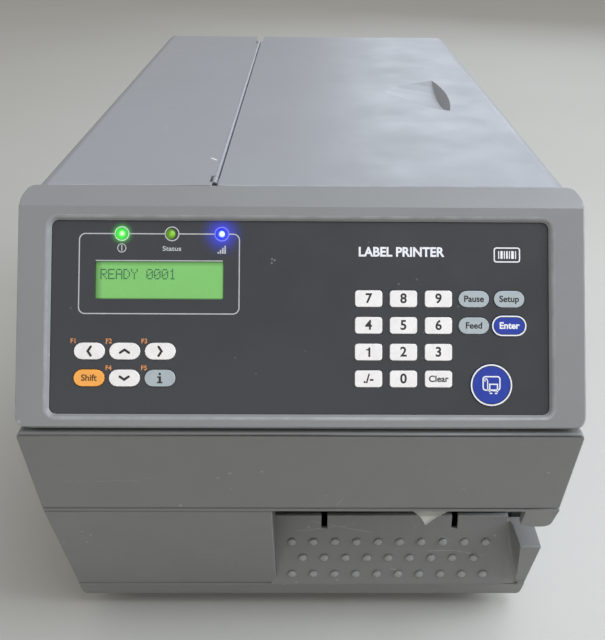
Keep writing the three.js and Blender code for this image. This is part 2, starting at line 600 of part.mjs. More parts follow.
function lowerFront() {
  const panelY = (z) => {
    const t = (LOWER_TOP[1] - z) / (LOWER_TOP[1] - STRIP_TOP[1]);
    return LOWER_TOP[0] + t * (STRIP_TOP[0] - LOWER_TOP[0]);
  };
  const outline = [
    [SEAM_Y, LOWER_TOP[1]], [LOWER_TOP[0] + 0.8, LOWER_TOP[1]], [panelY(115.2), 115.2],
    [panelY(30.6), 30.6], [panelY(30.3) + 0.9, 30.3], [panelY(29.6) + 0.9, 29.6],
    [panelY(29.3) - 0.4, 29.3], [panelY(28.4) - 0.7, 28.4], [panelY(27.6) - 0.4, 27.6],
    [STRIP_BOTTOM[0] - 0.5, STRIP_BOTTOM[1] + 1.4], [STRIP_BOTTOM[0] + 1, STRIP_BOTTOM[1]],
    [SEAM_Y, STRIP_BOTTOM[1]],
  ];
  const frontView = roundedRectangle(-HALF_WIDTH, HALF_WIDTH, BODY_BOTTOM_Z, LOWER_TOP[1], 0.6, 5);
  const frontViewBody = alongY(frontView, FRONT_Y - 1, SEAM_Y + 1);
  const outer = alongX(shapeOf(outline), -HALF_WIDTH, HALF_WIDTH).intersect(frontViewBody);

  const wall = MOULDING_WALL;
  const hollow = alongX(
    shapeOf([
      [panelY(113) + wall, LOWER_TOP[1] - wall], [panelY(30) + wall + 1, 30],
      [STRIP_BOTTOM[0] + wall, BODY_BOTTOM_Z + wall], [SEAM_Y + 1, BODY_BOTTOM_Z + wall],
      [SEAM_Y + 1, LOWER_TOP[1] - wall],
    ]),
    -HALF_WIDTH + wall,
    HALF_WIDTH - wall,
  );
  const behindTop = box([-HALF_WIDTH + wall, HALF_WIDTH - wall], [-211, SEAM_Y + 1], [100, LOWER_TOP[1] + 1]);
  const lips = rearLips([-1, 1], BODY_BOTTOM_Z, LOWER_TOP[1] - 14);
  const hollows = cut(join(hollow, behindTop), ...lips);

  // backing of the ramp, left wall of the chute and the solid right cheek
  const behindRamp = RAMP.map(([y, z]) => [y + wall, z]).reverse();
  const backing = alongX(shapeOf([...RAMP, ...behindRamp]), CHUTE.left - wall, HALF_WIDTH - 1);
  const leftWall = alongX(
    shapeOf([
      [panelY(28) + 0.6, 28], [RAMP[0][0] + wall, 28], [RAMP[2][0] + wall, CHUTE.top],
      [RAMP[2][0] + 1, CHUTE.top + 1], [RAMP[2][0] + 1, LOWER_TOP[1] - 1],
      [panelY(LOWER_TOP[1] - 1) + 1, LOWER_TOP[1] - 1],
    ]),
    CHUTE.left - wall,
    CHUTE.left,
  );
  const cheek = alongX(
    shapeOf([
      [panelY(28) + 0.6, 28], [RAMP[0][0] + wall, 28], [RAMP[2][0] + wall, CHUTE.top],
      [panelY(CHUTE.top) + 0.5, CHUTE.top],
    ]),
    CHUTE.right - 2,
    HALF_WIDTH - 0.5,
  ).intersect(frontViewBody);

  const hingeBoss = rodZ(5.5, LOWER_TOP[1] - 12, LOWER_TOP[1], DOOR_HINGE.x, DOOR_HINGE.y);
  const hingeRib = box([-HALF_WIDTH + 1, DOOR_HINGE.x], [DOOR_HINGE.y - 3, DOOR_HINGE.y + 3],
    [LOWER_TOP[1] - 12, LOWER_TOP[1]]);
  const hingeHole = rodZ(DOOR_HINGE.pinRadius + GAP, LOWER_TOP[1] - 5, LOWER_TOP[1] + 1,
    DOOR_HINGE.x, DOOR_HINGE.y);

  const chuteSpace = alongX(
    shapeOf([
      [FRONT_Y, RAMP[0][1]], ...RAMP, [SEAM_Y + 1, CHUTE.top], [SEAM_Y + 1, 130], [FRONT_Y, 130],
    ]),
    CHUTE.left,
    CHUTE.right - 2,
  );
  const cheekTopZ = (y) => CHEEK.topZ + (y - panelY(CHEEK.topZ)) * CHEEK.topSlope;
  const overCheek = alongX(
    shapeOf([
      [FRONT_Y, cheekTopZ(FRONT_Y)], [SEAM_Y + 1, cheekTopZ(SEAM_Y + 1)], [SEAM_Y + 1, 130], [FRONT_Y, 130],
    ]),
    CHUTE.right - 3,
    HALF_WIDTH + 1,
  );
  // the cheek's inner wall flares towards the front, more at the bottom than at the top
  const flare = loft([RAMP[0][1], 40, 55, RAMP[1][1], CHUTE.top + 2].map((z) => {
    const rear = rampY(z);
    const front = panelY(z);
    const wallX = CHUTE.right - 2;
    const edgeX = CHEEK.edgeX + (CHEEK.topZ - z) * CHEEK.edgeFlare;
    const hollowX = wallX + (edgeX - wallX) * 0.62;
    return [
      [wallX - 5, front - 8, z], [edgeX, front - 8, z], [edgeX, front - 0.1, z],
      [hollowX, rear + (front - rear) * 0.3, z], [wallX, rear, z], [wallX - 5, rear, z],
    ];
  }));
  const slots = RAMP_SLOTS.map((x) => box([x - 1.8, x + 1.8], [-200, SEAM_Y], [CHUTE.top - 9, CHUTE.top + 1]));

  let moulding = join(cut(outer, hollows), backing, leftWall, cheek, hingeBoss, hingeRib);
  moulding = cut(moulding, chuteSpace, overCheek, flare, hingeHole, ...slots);
  for (const { z, firstX, count } of STUD_ROWS) {
    for (let i = 0; i < count; i += 1) {
      moulding = moulding.add(stud(firstX + i * STUD_PITCH, z));
    }
  }
  return moulding;
}

// ---------------------------------------------------------------- console contents
const KEY_ROWS = [8.5, -4.5, -17.5, -30.5];
const DIGIT_COLUMNS = [33.2, 50.2, 67.3];
const KEY_WIDTH = 13.3;
const KEY_HEIGHT = 8.1;
const PILL_WIDTH = 15;

function key(name, x, y, width, height, radius, material) {
  return { name, x, y, width, height, radius, material };
}

function keyList() {
  const keys = [];
  const digits = [["7", "8", "9"], ["4", "5", "6"], ["1", "2", "3"], ["point", "0", "clear"]];
  digits.forEach((row, r) => {
    row.forEach((label, c) => {
      const place = [DIGIT_COLUMNS[c], KEY_ROWS[r]];
      keys.push(key(`key_${label}`, ...place, KEY_WIDTH, KEY_HEIGHT, 1.3, materials.keyWhite));
    });
  });
  const pill = (name, x, y, material) => key(name, x, y, PILL_WIDTH, KEY_HEIGHT, KEY_HEIGHT / 2, material);
  keys.push(
    pill("key_pause", 84.6, KEY_ROWS[0], materials.keyGrey),
    pill("key_setup", 101.9, KEY_ROWS[0], materials.keyGrey),
    pill("key_feed", 84.6, KEY_ROWS[1], materials.keyGrey),
    key("key_enter", 101.9, KEY_ROWS[1], 17, 10.1, 5.05, materials.keyBlue),
    key("key_print", 93.1, -33.3, 20.5, 20.5, 10.25, materials.keyBlue),
    pill("key_left", -102.3, KEY_ROWS[2], materials.keyWhite),
    pill("key_up", -85.2, KEY_ROWS[2], materials.keyWhite),
    pill("key_right", -68, KEY_ROWS[2], materials.keyWhite),
    pill("key_shift", -102.3, KEY_ROWS[3], materials.keyOrange),
    pill("key_down", -85.2, KEY_ROWS[3], materials.keyWhite),
    pill("key_info", -68, KEY_ROWS[3], materials.keyGrey),
  );
  return keys;
}

function keyOutline({ x, y, width, height, radius }, grow) {
  const w = width / 2 + grow;
  const h = height / 2 + grow;
  return roundedRectangle(x - w, x + w, y - h, y + h, Math.min(radius + grow, h, w));
}

// Small corners need fewer steps than round ends.
function keySegments({ radius }) {
  return radius < 2 ? 1 : 2;
}

function keySolid(item) {
  const segments = keySegments(item);
  const capTop = -OVERLAY_DEPTH + 0.5;
  const flangeTop = -OVERLAY_DEPTH - OVERLAY_THICKNESS - GAP;
  const flangeBottom = flangeTop - 1;
  return join(
    alongZ(keyOutline(item, 0), flangeBottom + 0.2, capTop, segments),
    alongZ(keyOutline(item, 0.5), flangeBottom, flangeTop, segments),
  );
}

const LAMPS_X = [-88.1, -63.7, -39.4];
const LAMPS_Y = 39.7;
const LAMP_RADIUS = 2.2;
const DISPLAY = { left: -99.9, right: -38.1, bottom: 8.2, top: 26 };

function keypadOverlay(keys) {
  const halfW = WINDOW_WIDTH / 2 + 2.5;
  const halfH = WINDOW_HEIGHT / 2 + 2.5;
  const sheet = roundedRectangle(-halfW, halfW, WINDOW_CENTRE_UP - halfH, WINDOW_CENTRE_UP + halfH, 3);
  for (const item of keys) {
    sheet.holes.push(new THREE.Path(keyOutline(item, GAP).getPoints(keySegments(item))));
  }
  const { left, right, bottom, top } = DISPLAY;
  sheet.holes.push(roundedRectangle(left - GAP, right + GAP, bottom - GAP, top + GAP, 0.8));
  for (const x of LAMPS_X) {
    sheet.holes.push(circlePath(x, LAMPS_Y, LAMP_RADIUS + GAP, 12));
  }
  return alongZ(sheet, -OVERLAY_DEPTH - OVERLAY_THICKNESS, -OVERLAY_DEPTH, 1);
}

const BOARD_TOP = -7.2;

function displayModule() {
  const { left, right, bottom, top } = DISPLAY;
  const base = box([left - 4, right + 4], [bottom - 5, top + 4.5], [BOARD_TOP + GAP, -4]);
  const glass = box([left, right], [bottom, top], [-5, -OVERLAY_DEPTH - 0.4]);
  return join(base, glass);
}

function lightGuide() {
  const bar = box([LAMPS_X[0] - 5, LAMPS_X[2] + 5], [LAMPS_Y - 3, LAMPS_Y + 3], [BOARD_TOP + GAP, -4]);
  const lenses = LAMPS_X.map((x) => {
    const profile = [[0, -5], [LAMP_RADIUS, -5], [LAMP_RADIUS, -2.2], [1.4, -1.8], [0, -1.6]];
    const points = profile.map(([radius, z]) => new THREE.Vector2(radius, z));
    return solidFrom(new THREE.LatheGeometry(points, 12).rotateX(Math.PI / 2).translate(x, LAMPS_Y, 0));
  });
  return join(bar, ...lenses);
}

function consoleBoard() {
  const board = box([-119, 119], [-45, 43], [BOARD_TOP - 1.6, BOARD_TOP]);
  const chip = box([-20, 8], [-12, 10], [BOARD_TOP - 3.6, BOARD_TOP - 1.5]);
  const connector = box([-10, 22], [-40, -33], [BOARD_TOP - 9, BOARD_TOP - 1.5]);
  return join(board, chip, connector);
}

// ---------------------------------------------------------------- print mechanism
function platenRoller() {
  const { y, z, radius, from, to } = PLATEN;
  const r = PLATEN_SHAFT_RADIUS;
  const shaftEnd = BRACKET_RIGHT_X + 1.6;
  return turnedX(
    [[0, GEAR_FROM_X - 2], [r, GEAR_FROM_X - 2], [r, from], [radius - 0.4, from], [radius, from + 0.8],
      [radius, to - 0.8], [radius - 0.4, to], [r, to], [r, shaftEnd], [0, shaftEnd]],
    y,
    z,
  );
}

// Straight-sided teeth of full height, centred on an axis along X.
function gear(teeth, boreRadius, from, to, y, z, firstAngle) {
  const pitchRadius = (GEAR_MODULE * teeth) / 2;
  const root = pitchRadius - 1.2 * GEAR_MODULE;
  const tip = pitchRadius + 0.9 * GEAR_MODULE;
  const step = (2 * Math.PI) / teeth;
  const shape = new THREE.Shape();
  for (let i = 0; i < teeth; i += 1) {
    const middle = firstAngle + i * step;
    const corners = [[root, -0.27], [tip, -0.1], [tip, 0.1], [root, 0.27]];
    corners.forEach(([radius, part], n) => {
      const angle = middle + part * step;
      const point = [y + radius * Math.cos(angle), z + radius * Math.sin(angle)];
      if (i === 0 && n === 0) {
        shape.moveTo(...point);
      } else {
        shape.lineTo(...point);
      }
    });
  }
  shape.closePath();
  if (boreRadius > 0) {
    shape.holes.push(circlePath(y, z, boreRadius, 12));
  }
  return alongX(shape, from, to);
}

const PINION = { y: PLATEN.y + (GEAR_MODULE * (PLATEN_TEETH + PINION_TEETH)) / 2, z: PLATEN.z };
const MOTOR_SHAFT_RADIUS = 2.5;
const MOTOR_FRONT_X = -42;
const MOTOR_HALF = 28;

function platenGear() {
  return gear(PLATEN_TEETH, PLATEN_SHAFT_RADIUS + GAP, GEAR_FROM_X, GEAR_TO_X, PLATEN.y, PLATEN.z, 0);
}

function motorPinion() {
  const firstAngle = Math.PI + Math.PI / PINION_TEETH;
  const teeth = gear(PINION_TEETH, 0, GEAR_FROM_X + 1, GEAR_TO_X - 1, PINION.y, PINION.z, firstAngle);
  return join(teeth, rodX(MOTOR_SHAFT_RADIUS, MOTOR_FRONT_X - 8, GEAR_TO_X, PINION.y, PINION.z, 16));
}

function driveMotor() {
  const { y, z } = PINION;
  const h = MOTOR_HALF;
  const outline = roundedRectangle(y - h, y + h, z - h, z + h, 4);
  let motor = alongX(outline, MOTOR_FRONT_X - 48, MOTOR_FRONT_X, 2);
  for (const side of [-1, 1]) {
    for (const level of [-1, 1]) {
      const at = [y + side * 23.5, z + level * 23.5];
      motor = join(motor, rodX(2.6, MOTOR_FRONT_X - 1, PLATE_LEFT_X - GAP, ...at, 12));
    }
  }
  return cut(motor, rodX(MOTOR_SHAFT_RADIUS + GAP, MOTOR_FRONT_X - 10, MOTOR_FRONT_X + 1, y, z, 16));
}

// Print head: heater board under a finned heat sink, on two arms that turn on the head shaft.
function printHead() {
  const { y, z, radius } = HEAD_SHAFT;
  const left = -2;
  const right = 116;
  const bottomZ = PLATEN.z + PLATEN.radius + 0.6;
  let head = join(
    box([left, right], [-186, -152], [bottomZ, bottomZ + 3]),
    box([left, right], [-184, -152], [bottomZ + 2.5, bottomZ + 9]),
    alongX(
      shapeOf([[-160, bottomZ + 5], [-150, bottomZ + 5], [-124, 116], [-124, 130], [-136, 130]]),
      left,
      right,
    ),
    rodX(radius + 4, left, right, y, z),
  );
  for (let i = 0; i < 5; i += 1) {
    const fin = [-182 + i * 5.4, -179.6 + i * 5.4];
    head = join(head, box([left + 3, right - 3], fin, [bottomZ + 8, bottomZ + 19]));
  }
  return cut(head, rodX(radius + 0.1, left - 1, right + 1, y, z));
}

function headShaft() {
  return rodX(HEAD_SHAFT.radius, PLATE_LEFT_X - 6, 130, HEAD_SHAFT.y, HEAD_SHAFT.z);
}

function headLever() {
  const { y, z, radius } = HEAD_SHAFT;
  const from = BRACKET_RIGHT_X + 0.5;
  const to = from + 4.5;
  const arm = alongX(shapeOf([[y, z - 5], [y, z + 6], [y - 36, z + 20], [y - 40, z + 12]]), from, to);
  const grip = rodX(7, from, to, y - 39, z + 16.5);
  return cut(join(arm, grip, rodX(radius + 4.5, from, to, y, z)), rodX(radius + 0.1, from - 1, to + 1, y, z));
}

function tearBar() {
  const from = PLATE_RIGHT_X + GAP;
  const to = BRACKET_LEFT_X - GAP;
  const shape = new THREE.Shape();
  const pitch = 3;
  const count = Math.floor((to - from) / pitch);
  shape.moveTo(from, 86);
  shape.lineTo(to, 86);
  shape.lineTo(to, 94.6);
  for (let i = 0; i < count; i += 1) {
    shape.lineTo(to - (i + 0.5) * pitch, 96);
    shape.lineTo(to - (i + 1) * pitch, 94.6);
  }
  shape.lineTo(from, 94.6);
  const blade = alongY(shape, -189.6, -188.4);
  return join(blade, box([from, to], [-188.6, -184.5], [86, 91]));
}

const GUIDE_TOP = 95;

function guidePlate() {
  const section = shapeOf([
    [-159, GUIDE_TOP - 6], [-157.4, GUIDE_TOP - 6], [-157.4, GUIDE_TOP - 1.6], [-20, GUIDE_TOP - 1.6],
    [-8, GUIDE_TOP - 9], [-7, GUIDE_TOP - 7.6], [-19.6, GUIDE_TOP], [-159, GUIDE_TOP],
  ]);
  const plate = alongX(section, PLATE_RIGHT_X + GAP, 118);
  const slot = box([36, 116], [-96, -88], [GUIDE_TOP - 3, GUIDE_TOP + 1]);
  return cut(plate, slot);
}

// The guide's stem drops through the slot; a shoe below keeps it in.
function mediaGuide() {
  return join(
    box([109.6, 111.6], [-116, -66], [GUIDE_TOP + GAP, GUIDE_TOP + 20]),
    box([103.6, 115.6], [-95.6, -88.4], [GUIDE_TOP + GAP, GUIDE_TOP + 3]),
    box([106, 115.6], [-94.6, -89.4], [GUIDE_TOP - 6, GUIDE_TOP + 2]),
    box([104, 115.6], [-99, -85], [GUIDE_TOP - 6, GUIDE_TOP - 2.4]),
  );
}

function labelRemnant() {
  const half = 0.14;
  const path = [[-150, 97.25], [-190, 97.3], [-199, 96.2], [-204.6, 92.6], [-207, 88.4]];
  const left = offsetLine(path, half);
  const right = offsetLine(path, -half).reverse();
  const strip = alongX(shapeOf([...left, ...right]), 4, 108);
  const plan = shapeOf([
    [4, -140], [108, -140], [108, -193], [85, -193.5], [80.5, -199], [75.7, -203], [71.8, -208.4], [70.4, -208.4],
    [68.2, -204.4], [65, -200], [61, -193.5], [4, -193],
  ]);
  return strip.intersect(alongZ(plan, 60, 110));
}

// ---------------------------------------------------------------- hubs
const HUB_AXLE_RADIUS = 5;

function ribbedHub({ y, z }, spindleRadius, length, flangeRadius, ribs) {
  const from = PLATE_RIGHT_X + 1;
  const back = PLATE_LEFT_X - 6;
  const turned = turnedX(
    [[0, back], [HUB_AXLE_RADIUS, back], [HUB_AXLE_RADIUS, from], [flangeRadius, from],
      [flangeRadius, from + 2.5], [spindleRadius, from + 4], [spindleRadius, from + length - 3],
      [spindleRadius - 2, from + length], [0, from + length]],
    y,
    z,
  );
  let hub = turned;
  for (let i = 0; i < ribs; i += 1) {
    const rib = box([from + 2, from + length - 6], [y - 1.2, y + 1.2], [z, z + spindleRadius + 1.6]);
    const turn = new THREE.Matrix4()
      .makeTranslation(0, y, z)
      .multiply(new THREE.Matrix4().makeRotationX((i * 2 * Math.PI) / ribs))
      .multiply(new THREE.Matrix4().makeTranslation(0, -y, -z));
    hub = hub.add(solidFrom(geometryFrom(rib).applyMatrix4(turn)));
  }
  return hub;
}

// ---------------------------------------------------------------- electronics
const POWER_X = [-118, -52];
const POWER_Z = [26, 52];
const REAR_SOCKETS = [
  { z: 84, height: 14, depth: 12 },
  { z: 108, height: 18, depth: 12 },
  { z: 150, height: 34, depth: 11 },
  { z: 196, height: 40, depth: 9 },
];

function mainBoard() {
  const face = -33.6;
  let board = box([face - 1.6, face], [-30, 226], [66, 250]);
  const parts = [
    [[face - 6, face - 1.5], [60, 100], [140, 180]],
    [[face - 5, face - 1.5], [10, 34], [150, 174]],
    [[face - 9, face - 1.5], [120, 190], [92, 100]],
    [[face - 14, face - 1.5], [-20, 0], [80, 100]],
    [[face - 12, face - 1.5], [140, 170], [210, 236]],
  ];
  for (const spans of parts) {
    board = join(board, box(...spans));
  }
  for (const { z, height, depth } of REAR_SOCKETS) {
    const span = [z - height / 2, z + height / 2];
    const socket = box([face - 1.6 - depth + 0.4, face - 1.2], [208, REAR_Y - 0.6], span);
    const mouth = box([face - depth + 0.8, face - 3], [232, REAR_Y], [span[0] + 2, span[1] - 2]);
    board = join(board, cut(socket, mouth));
  }
  for (const y of [-22, 200]) {
    for (const z of [74, 242]) {
      board = join(board, rodX(3, face - 0.5, PLATE_LEFT_X - GAP, y, z, 12));
    }
  }
  return board;
}

function powerSupply() {
  const floor = BODY_BOTTOM_Z + 2 + GAP;
  const spanX = [-124, -56];
  const spanY = [70, 196];
  let supply = join(
    box(spanX, spanY, [floor, floor + 1.5]),
    box([spanX[0], spanX[0] + 1.5], spanY, [floor, floor + 42]),
    box([spanX[0] + 3, spanX[1] - 2], [spanY[0] + 3, spanY[1] - 3], [floor + 1, floor + 8]),
    box([-110, -78], [100, 134], [floor + 7, floor + 36]),
    box([-74, -62], [82, 120], [floor + 7, floor + 34]),
  );
  for (const [x, y] of [[-104, 152], [-80, 156], [-104, 178]]) {
    supply = join(supply, rodZ(9, floor + 7, floor + 36, x, y, 14));
  }
  return supply;
}

const SWITCH = { x: -66, z: 39, halfWidth: 6.5, halfHeight: 10.5, pivotY: REAR_Y - 7 };
const INLET = { x: -98, z: 39, halfWidth: 12.2, halfHeight: 7.9 };

// Inlet module: three-blade appliance inlet and the frame of the rocker switch, side by side.
function powerInlet() {
  const flange = box([POWER_X[0] - 3, POWER_X[1] + 3], [REAR_Y - 2 + GAP, REAR_Y - 0.2],
    [POWER_Z[0] - 3, POWER_Z[1] + 3]);
  const body = box(POWER_X, [REAR_Y - 34, REAR_Y - 1], POWER_Z);
  const { x, z, halfWidth, halfHeight } = INLET;
  const socket = shapeOf([
    [x - halfWidth, z - halfHeight], [x + halfWidth, z - halfHeight], [x + halfWidth, z + halfHeight - 4],
    [x + halfWidth - 4, z + halfHeight], [x - halfWidth + 4, z + halfHeight],
    [x - halfWidth, z + halfHeight - 4],
  ]);
  const socketSpace = alongY(socket, REAR_Y - 20, REAR_Y + 1);
  const switchSpace = box(
    [SWITCH.x - SWITCH.halfWidth - GAP, SWITCH.x + SWITCH.halfWidth + GAP],
    [REAR_Y - 26, REAR_Y + 1],
    [SWITCH.z - SWITCH.halfHeight - GAP, SWITCH.z + SWITCH.halfHeight + GAP],
  );
  const blade = (bx, bz) => box([bx - 1, bx + 1], [REAR_Y - 21, REAR_Y - 4], [bz - 2, bz + 2]);
  return join(
    cut(join(flange, body), socketSpace, switchSpace),
    blade(x - 7, z - 1.5),
    blade(x + 7, z - 1.5),
    blade(x, z + 2.6),
  );
}

// Rocker with two faces; it turns on a cross axis and rests on its upper half.
function powerSwitch() {
  const { x, z, halfWidth, halfHeight, pivotY } = SWITCH;
  const face = REAR_Y - 3.2;
  const h = halfHeight - 1.2;
  const lean = THREE.MathUtils.degToRad(8);
  const outline = shapeOf([
    [pivotY - 5, z - 3], [pivotY - 5, z + 3], [pivotY - 1, z + h - 0.6], [face + 1.2, z + h], [face - 1, z],
    [face + 1.2, z - h], [pivotY - 1, z - h + 0.6],
  ]);
  const rocker = geometryFrom(alongX(outline, x - halfWidth + 0.2, x + halfWidth - 0.2));
  rocker.translate(0, -pivotY, -z).rotateX(lean).translate(0, pivotY, z);
  return solidFrom(rocker);
}

// ---------------------------------------------------------------- assembly
place("left_cover", leftCover(), materials.cover());
place("side_door", sideDoor(), materials.cover());
place("door_hinge_pin", topHingePin(), materials.steel());
place("rear_panel", rearPanel(), materials.sheetSteel());
place("base_tray", baseTray(), materials.sheetSteel());
for (const [name, x, y] of [
  ["foot_front_left", -112, -158],
  ["foot_front_right", 112, -158],
  ["foot_rear_left", -112, 212],
  ["foot_rear_right", 112, 212],
]) {
  place(name, foot(x, y), materials.rubber());
}
place("centre_plate", centrePlate(), materials.sheetSteel());
place("outer_bracket", outerBracket(), materials.sheetSteel());
place("console_bezel", consoleBezel(), materials.bezel());
place("front_door", frontDoor(), materials.lowerFront());
place("front_door_pin", frontDoorPin(), materials.steel());
place("lower_front", lowerFront(), materials.lowerFront());

const keys = keyList();
place("keypad_overlay", keypadOverlay(keys), materials.overlay(), consoleFrame);
place("display_module", displayModule(), materials.display(), consoleFrame);
place("light_guide", lightGuide(), materials.lamp(), consoleFrame);
place("console_board", consoleBoard(), materials.board(), consoleFrame);
for (const item of keys) {
  place(item.name, keySolid(item), item.material(), consoleFrame);
}

place("platen_roller", platenRoller(), materials.platenRubber());
place("platen_gear", platenGear(), materials.greyPlastic());
place("motor_pinion", motorPinion(), materials.brass());
place("drive_motor", driveMotor(), materials.blackPlastic());
place("print_head", printHead(), materials.headAluminium());
place("head_shaft", headShaft(), materials.steel());
place("head_lever", headLever(), materials.leverGreen());
place("tear_bar", tearBar(), materials.steel());
place("guide_plate", guidePlate(), materials.sheetSteel());
place("media_guide", mediaGuide(), materials.leverGreen());
place("label_remnant", labelRemnant(), materials.paper());
place("media_hub", ribbedHub(MEDIA_HUB, 18, 128, 48, 3), materials.greyPlastic());
place("ribbon_supply_hub", ribbedHub(RIBBON_SUPPLY, 11, 118, 22, 3), materials.blackPlastic());
place("ribbon_rewind_hub", ribbedHub(RIBBON_REWIND, 11, 118, 22, 3), materials.blackPlastic());
place("main_board", mainBoard(), materials.board());
place("power_supply", powerSupply(), materials.sheetSteel());
place("power_inlet", powerInlet(), materials.blackPlastic());
place("power_switch", powerSwitch(), materials.blackPlastic());

export default printer;
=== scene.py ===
"""A desktop thermal label printer: finishes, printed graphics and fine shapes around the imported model."""
import json
import math
import random

import bmesh
import bpy
from mathutils import Matrix, Vector

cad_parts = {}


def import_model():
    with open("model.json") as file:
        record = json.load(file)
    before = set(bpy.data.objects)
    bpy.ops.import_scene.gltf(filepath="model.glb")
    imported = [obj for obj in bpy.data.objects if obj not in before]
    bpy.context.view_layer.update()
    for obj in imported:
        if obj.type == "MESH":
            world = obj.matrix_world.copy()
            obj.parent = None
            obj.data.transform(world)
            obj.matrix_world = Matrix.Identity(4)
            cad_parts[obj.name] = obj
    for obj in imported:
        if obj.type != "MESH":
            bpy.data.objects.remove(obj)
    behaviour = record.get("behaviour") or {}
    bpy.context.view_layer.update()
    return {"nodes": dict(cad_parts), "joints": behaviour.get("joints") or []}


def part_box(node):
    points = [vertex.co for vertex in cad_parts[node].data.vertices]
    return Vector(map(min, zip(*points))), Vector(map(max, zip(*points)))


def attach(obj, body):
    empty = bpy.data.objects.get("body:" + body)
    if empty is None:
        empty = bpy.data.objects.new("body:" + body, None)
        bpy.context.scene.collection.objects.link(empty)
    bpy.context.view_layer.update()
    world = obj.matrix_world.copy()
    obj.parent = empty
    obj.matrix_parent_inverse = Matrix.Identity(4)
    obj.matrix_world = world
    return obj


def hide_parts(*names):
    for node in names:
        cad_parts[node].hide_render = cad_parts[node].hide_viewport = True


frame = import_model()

MM = 0.001
NODES = frame["nodes"]
RNG = random.Random(41)  # for the torn edge of the label


# ---------------------------------------------------------------- shader building

def linear(red, green, blue):
    """A display colour, 0 to 255 in each channel, as the linear colour that shaders use."""
    def channel(value):
        share = value / 255
        return share / 12.92 if share <= 0.04045 else ((share + 0.055) / 1.055) ** 2.4
    return (channel(red), channel(green), channel(blue), 1.0)


def scaled(colour, gain):
    """The colour made lighter or darker by a factor."""
    return tuple(min(1.0, part * gain) for part in colour[:3]) + (1.0,)


SCRATCH_WAVER = 0.12  # how far a scratch drifts sideways, as a share of half its length
RAMP_FOOT = (0, -196.9, 30.6)  # two points on the ramp between the studs, in millimetres
RAMP_TOP = (0, -192.6, 72.0)
RAMP_LEVELS = (4, 38)  # the studded part: its lower and upper edge up the slope from the foot
RAMP_SIDES = (-12, 117)  # and its left and right edge
STUD_LIGHTENING = (0.4, 1.1)  # heights over the ramp where the stud tops start to turn lighter and where they are fully lighter
STUD_HEIGHT = 2


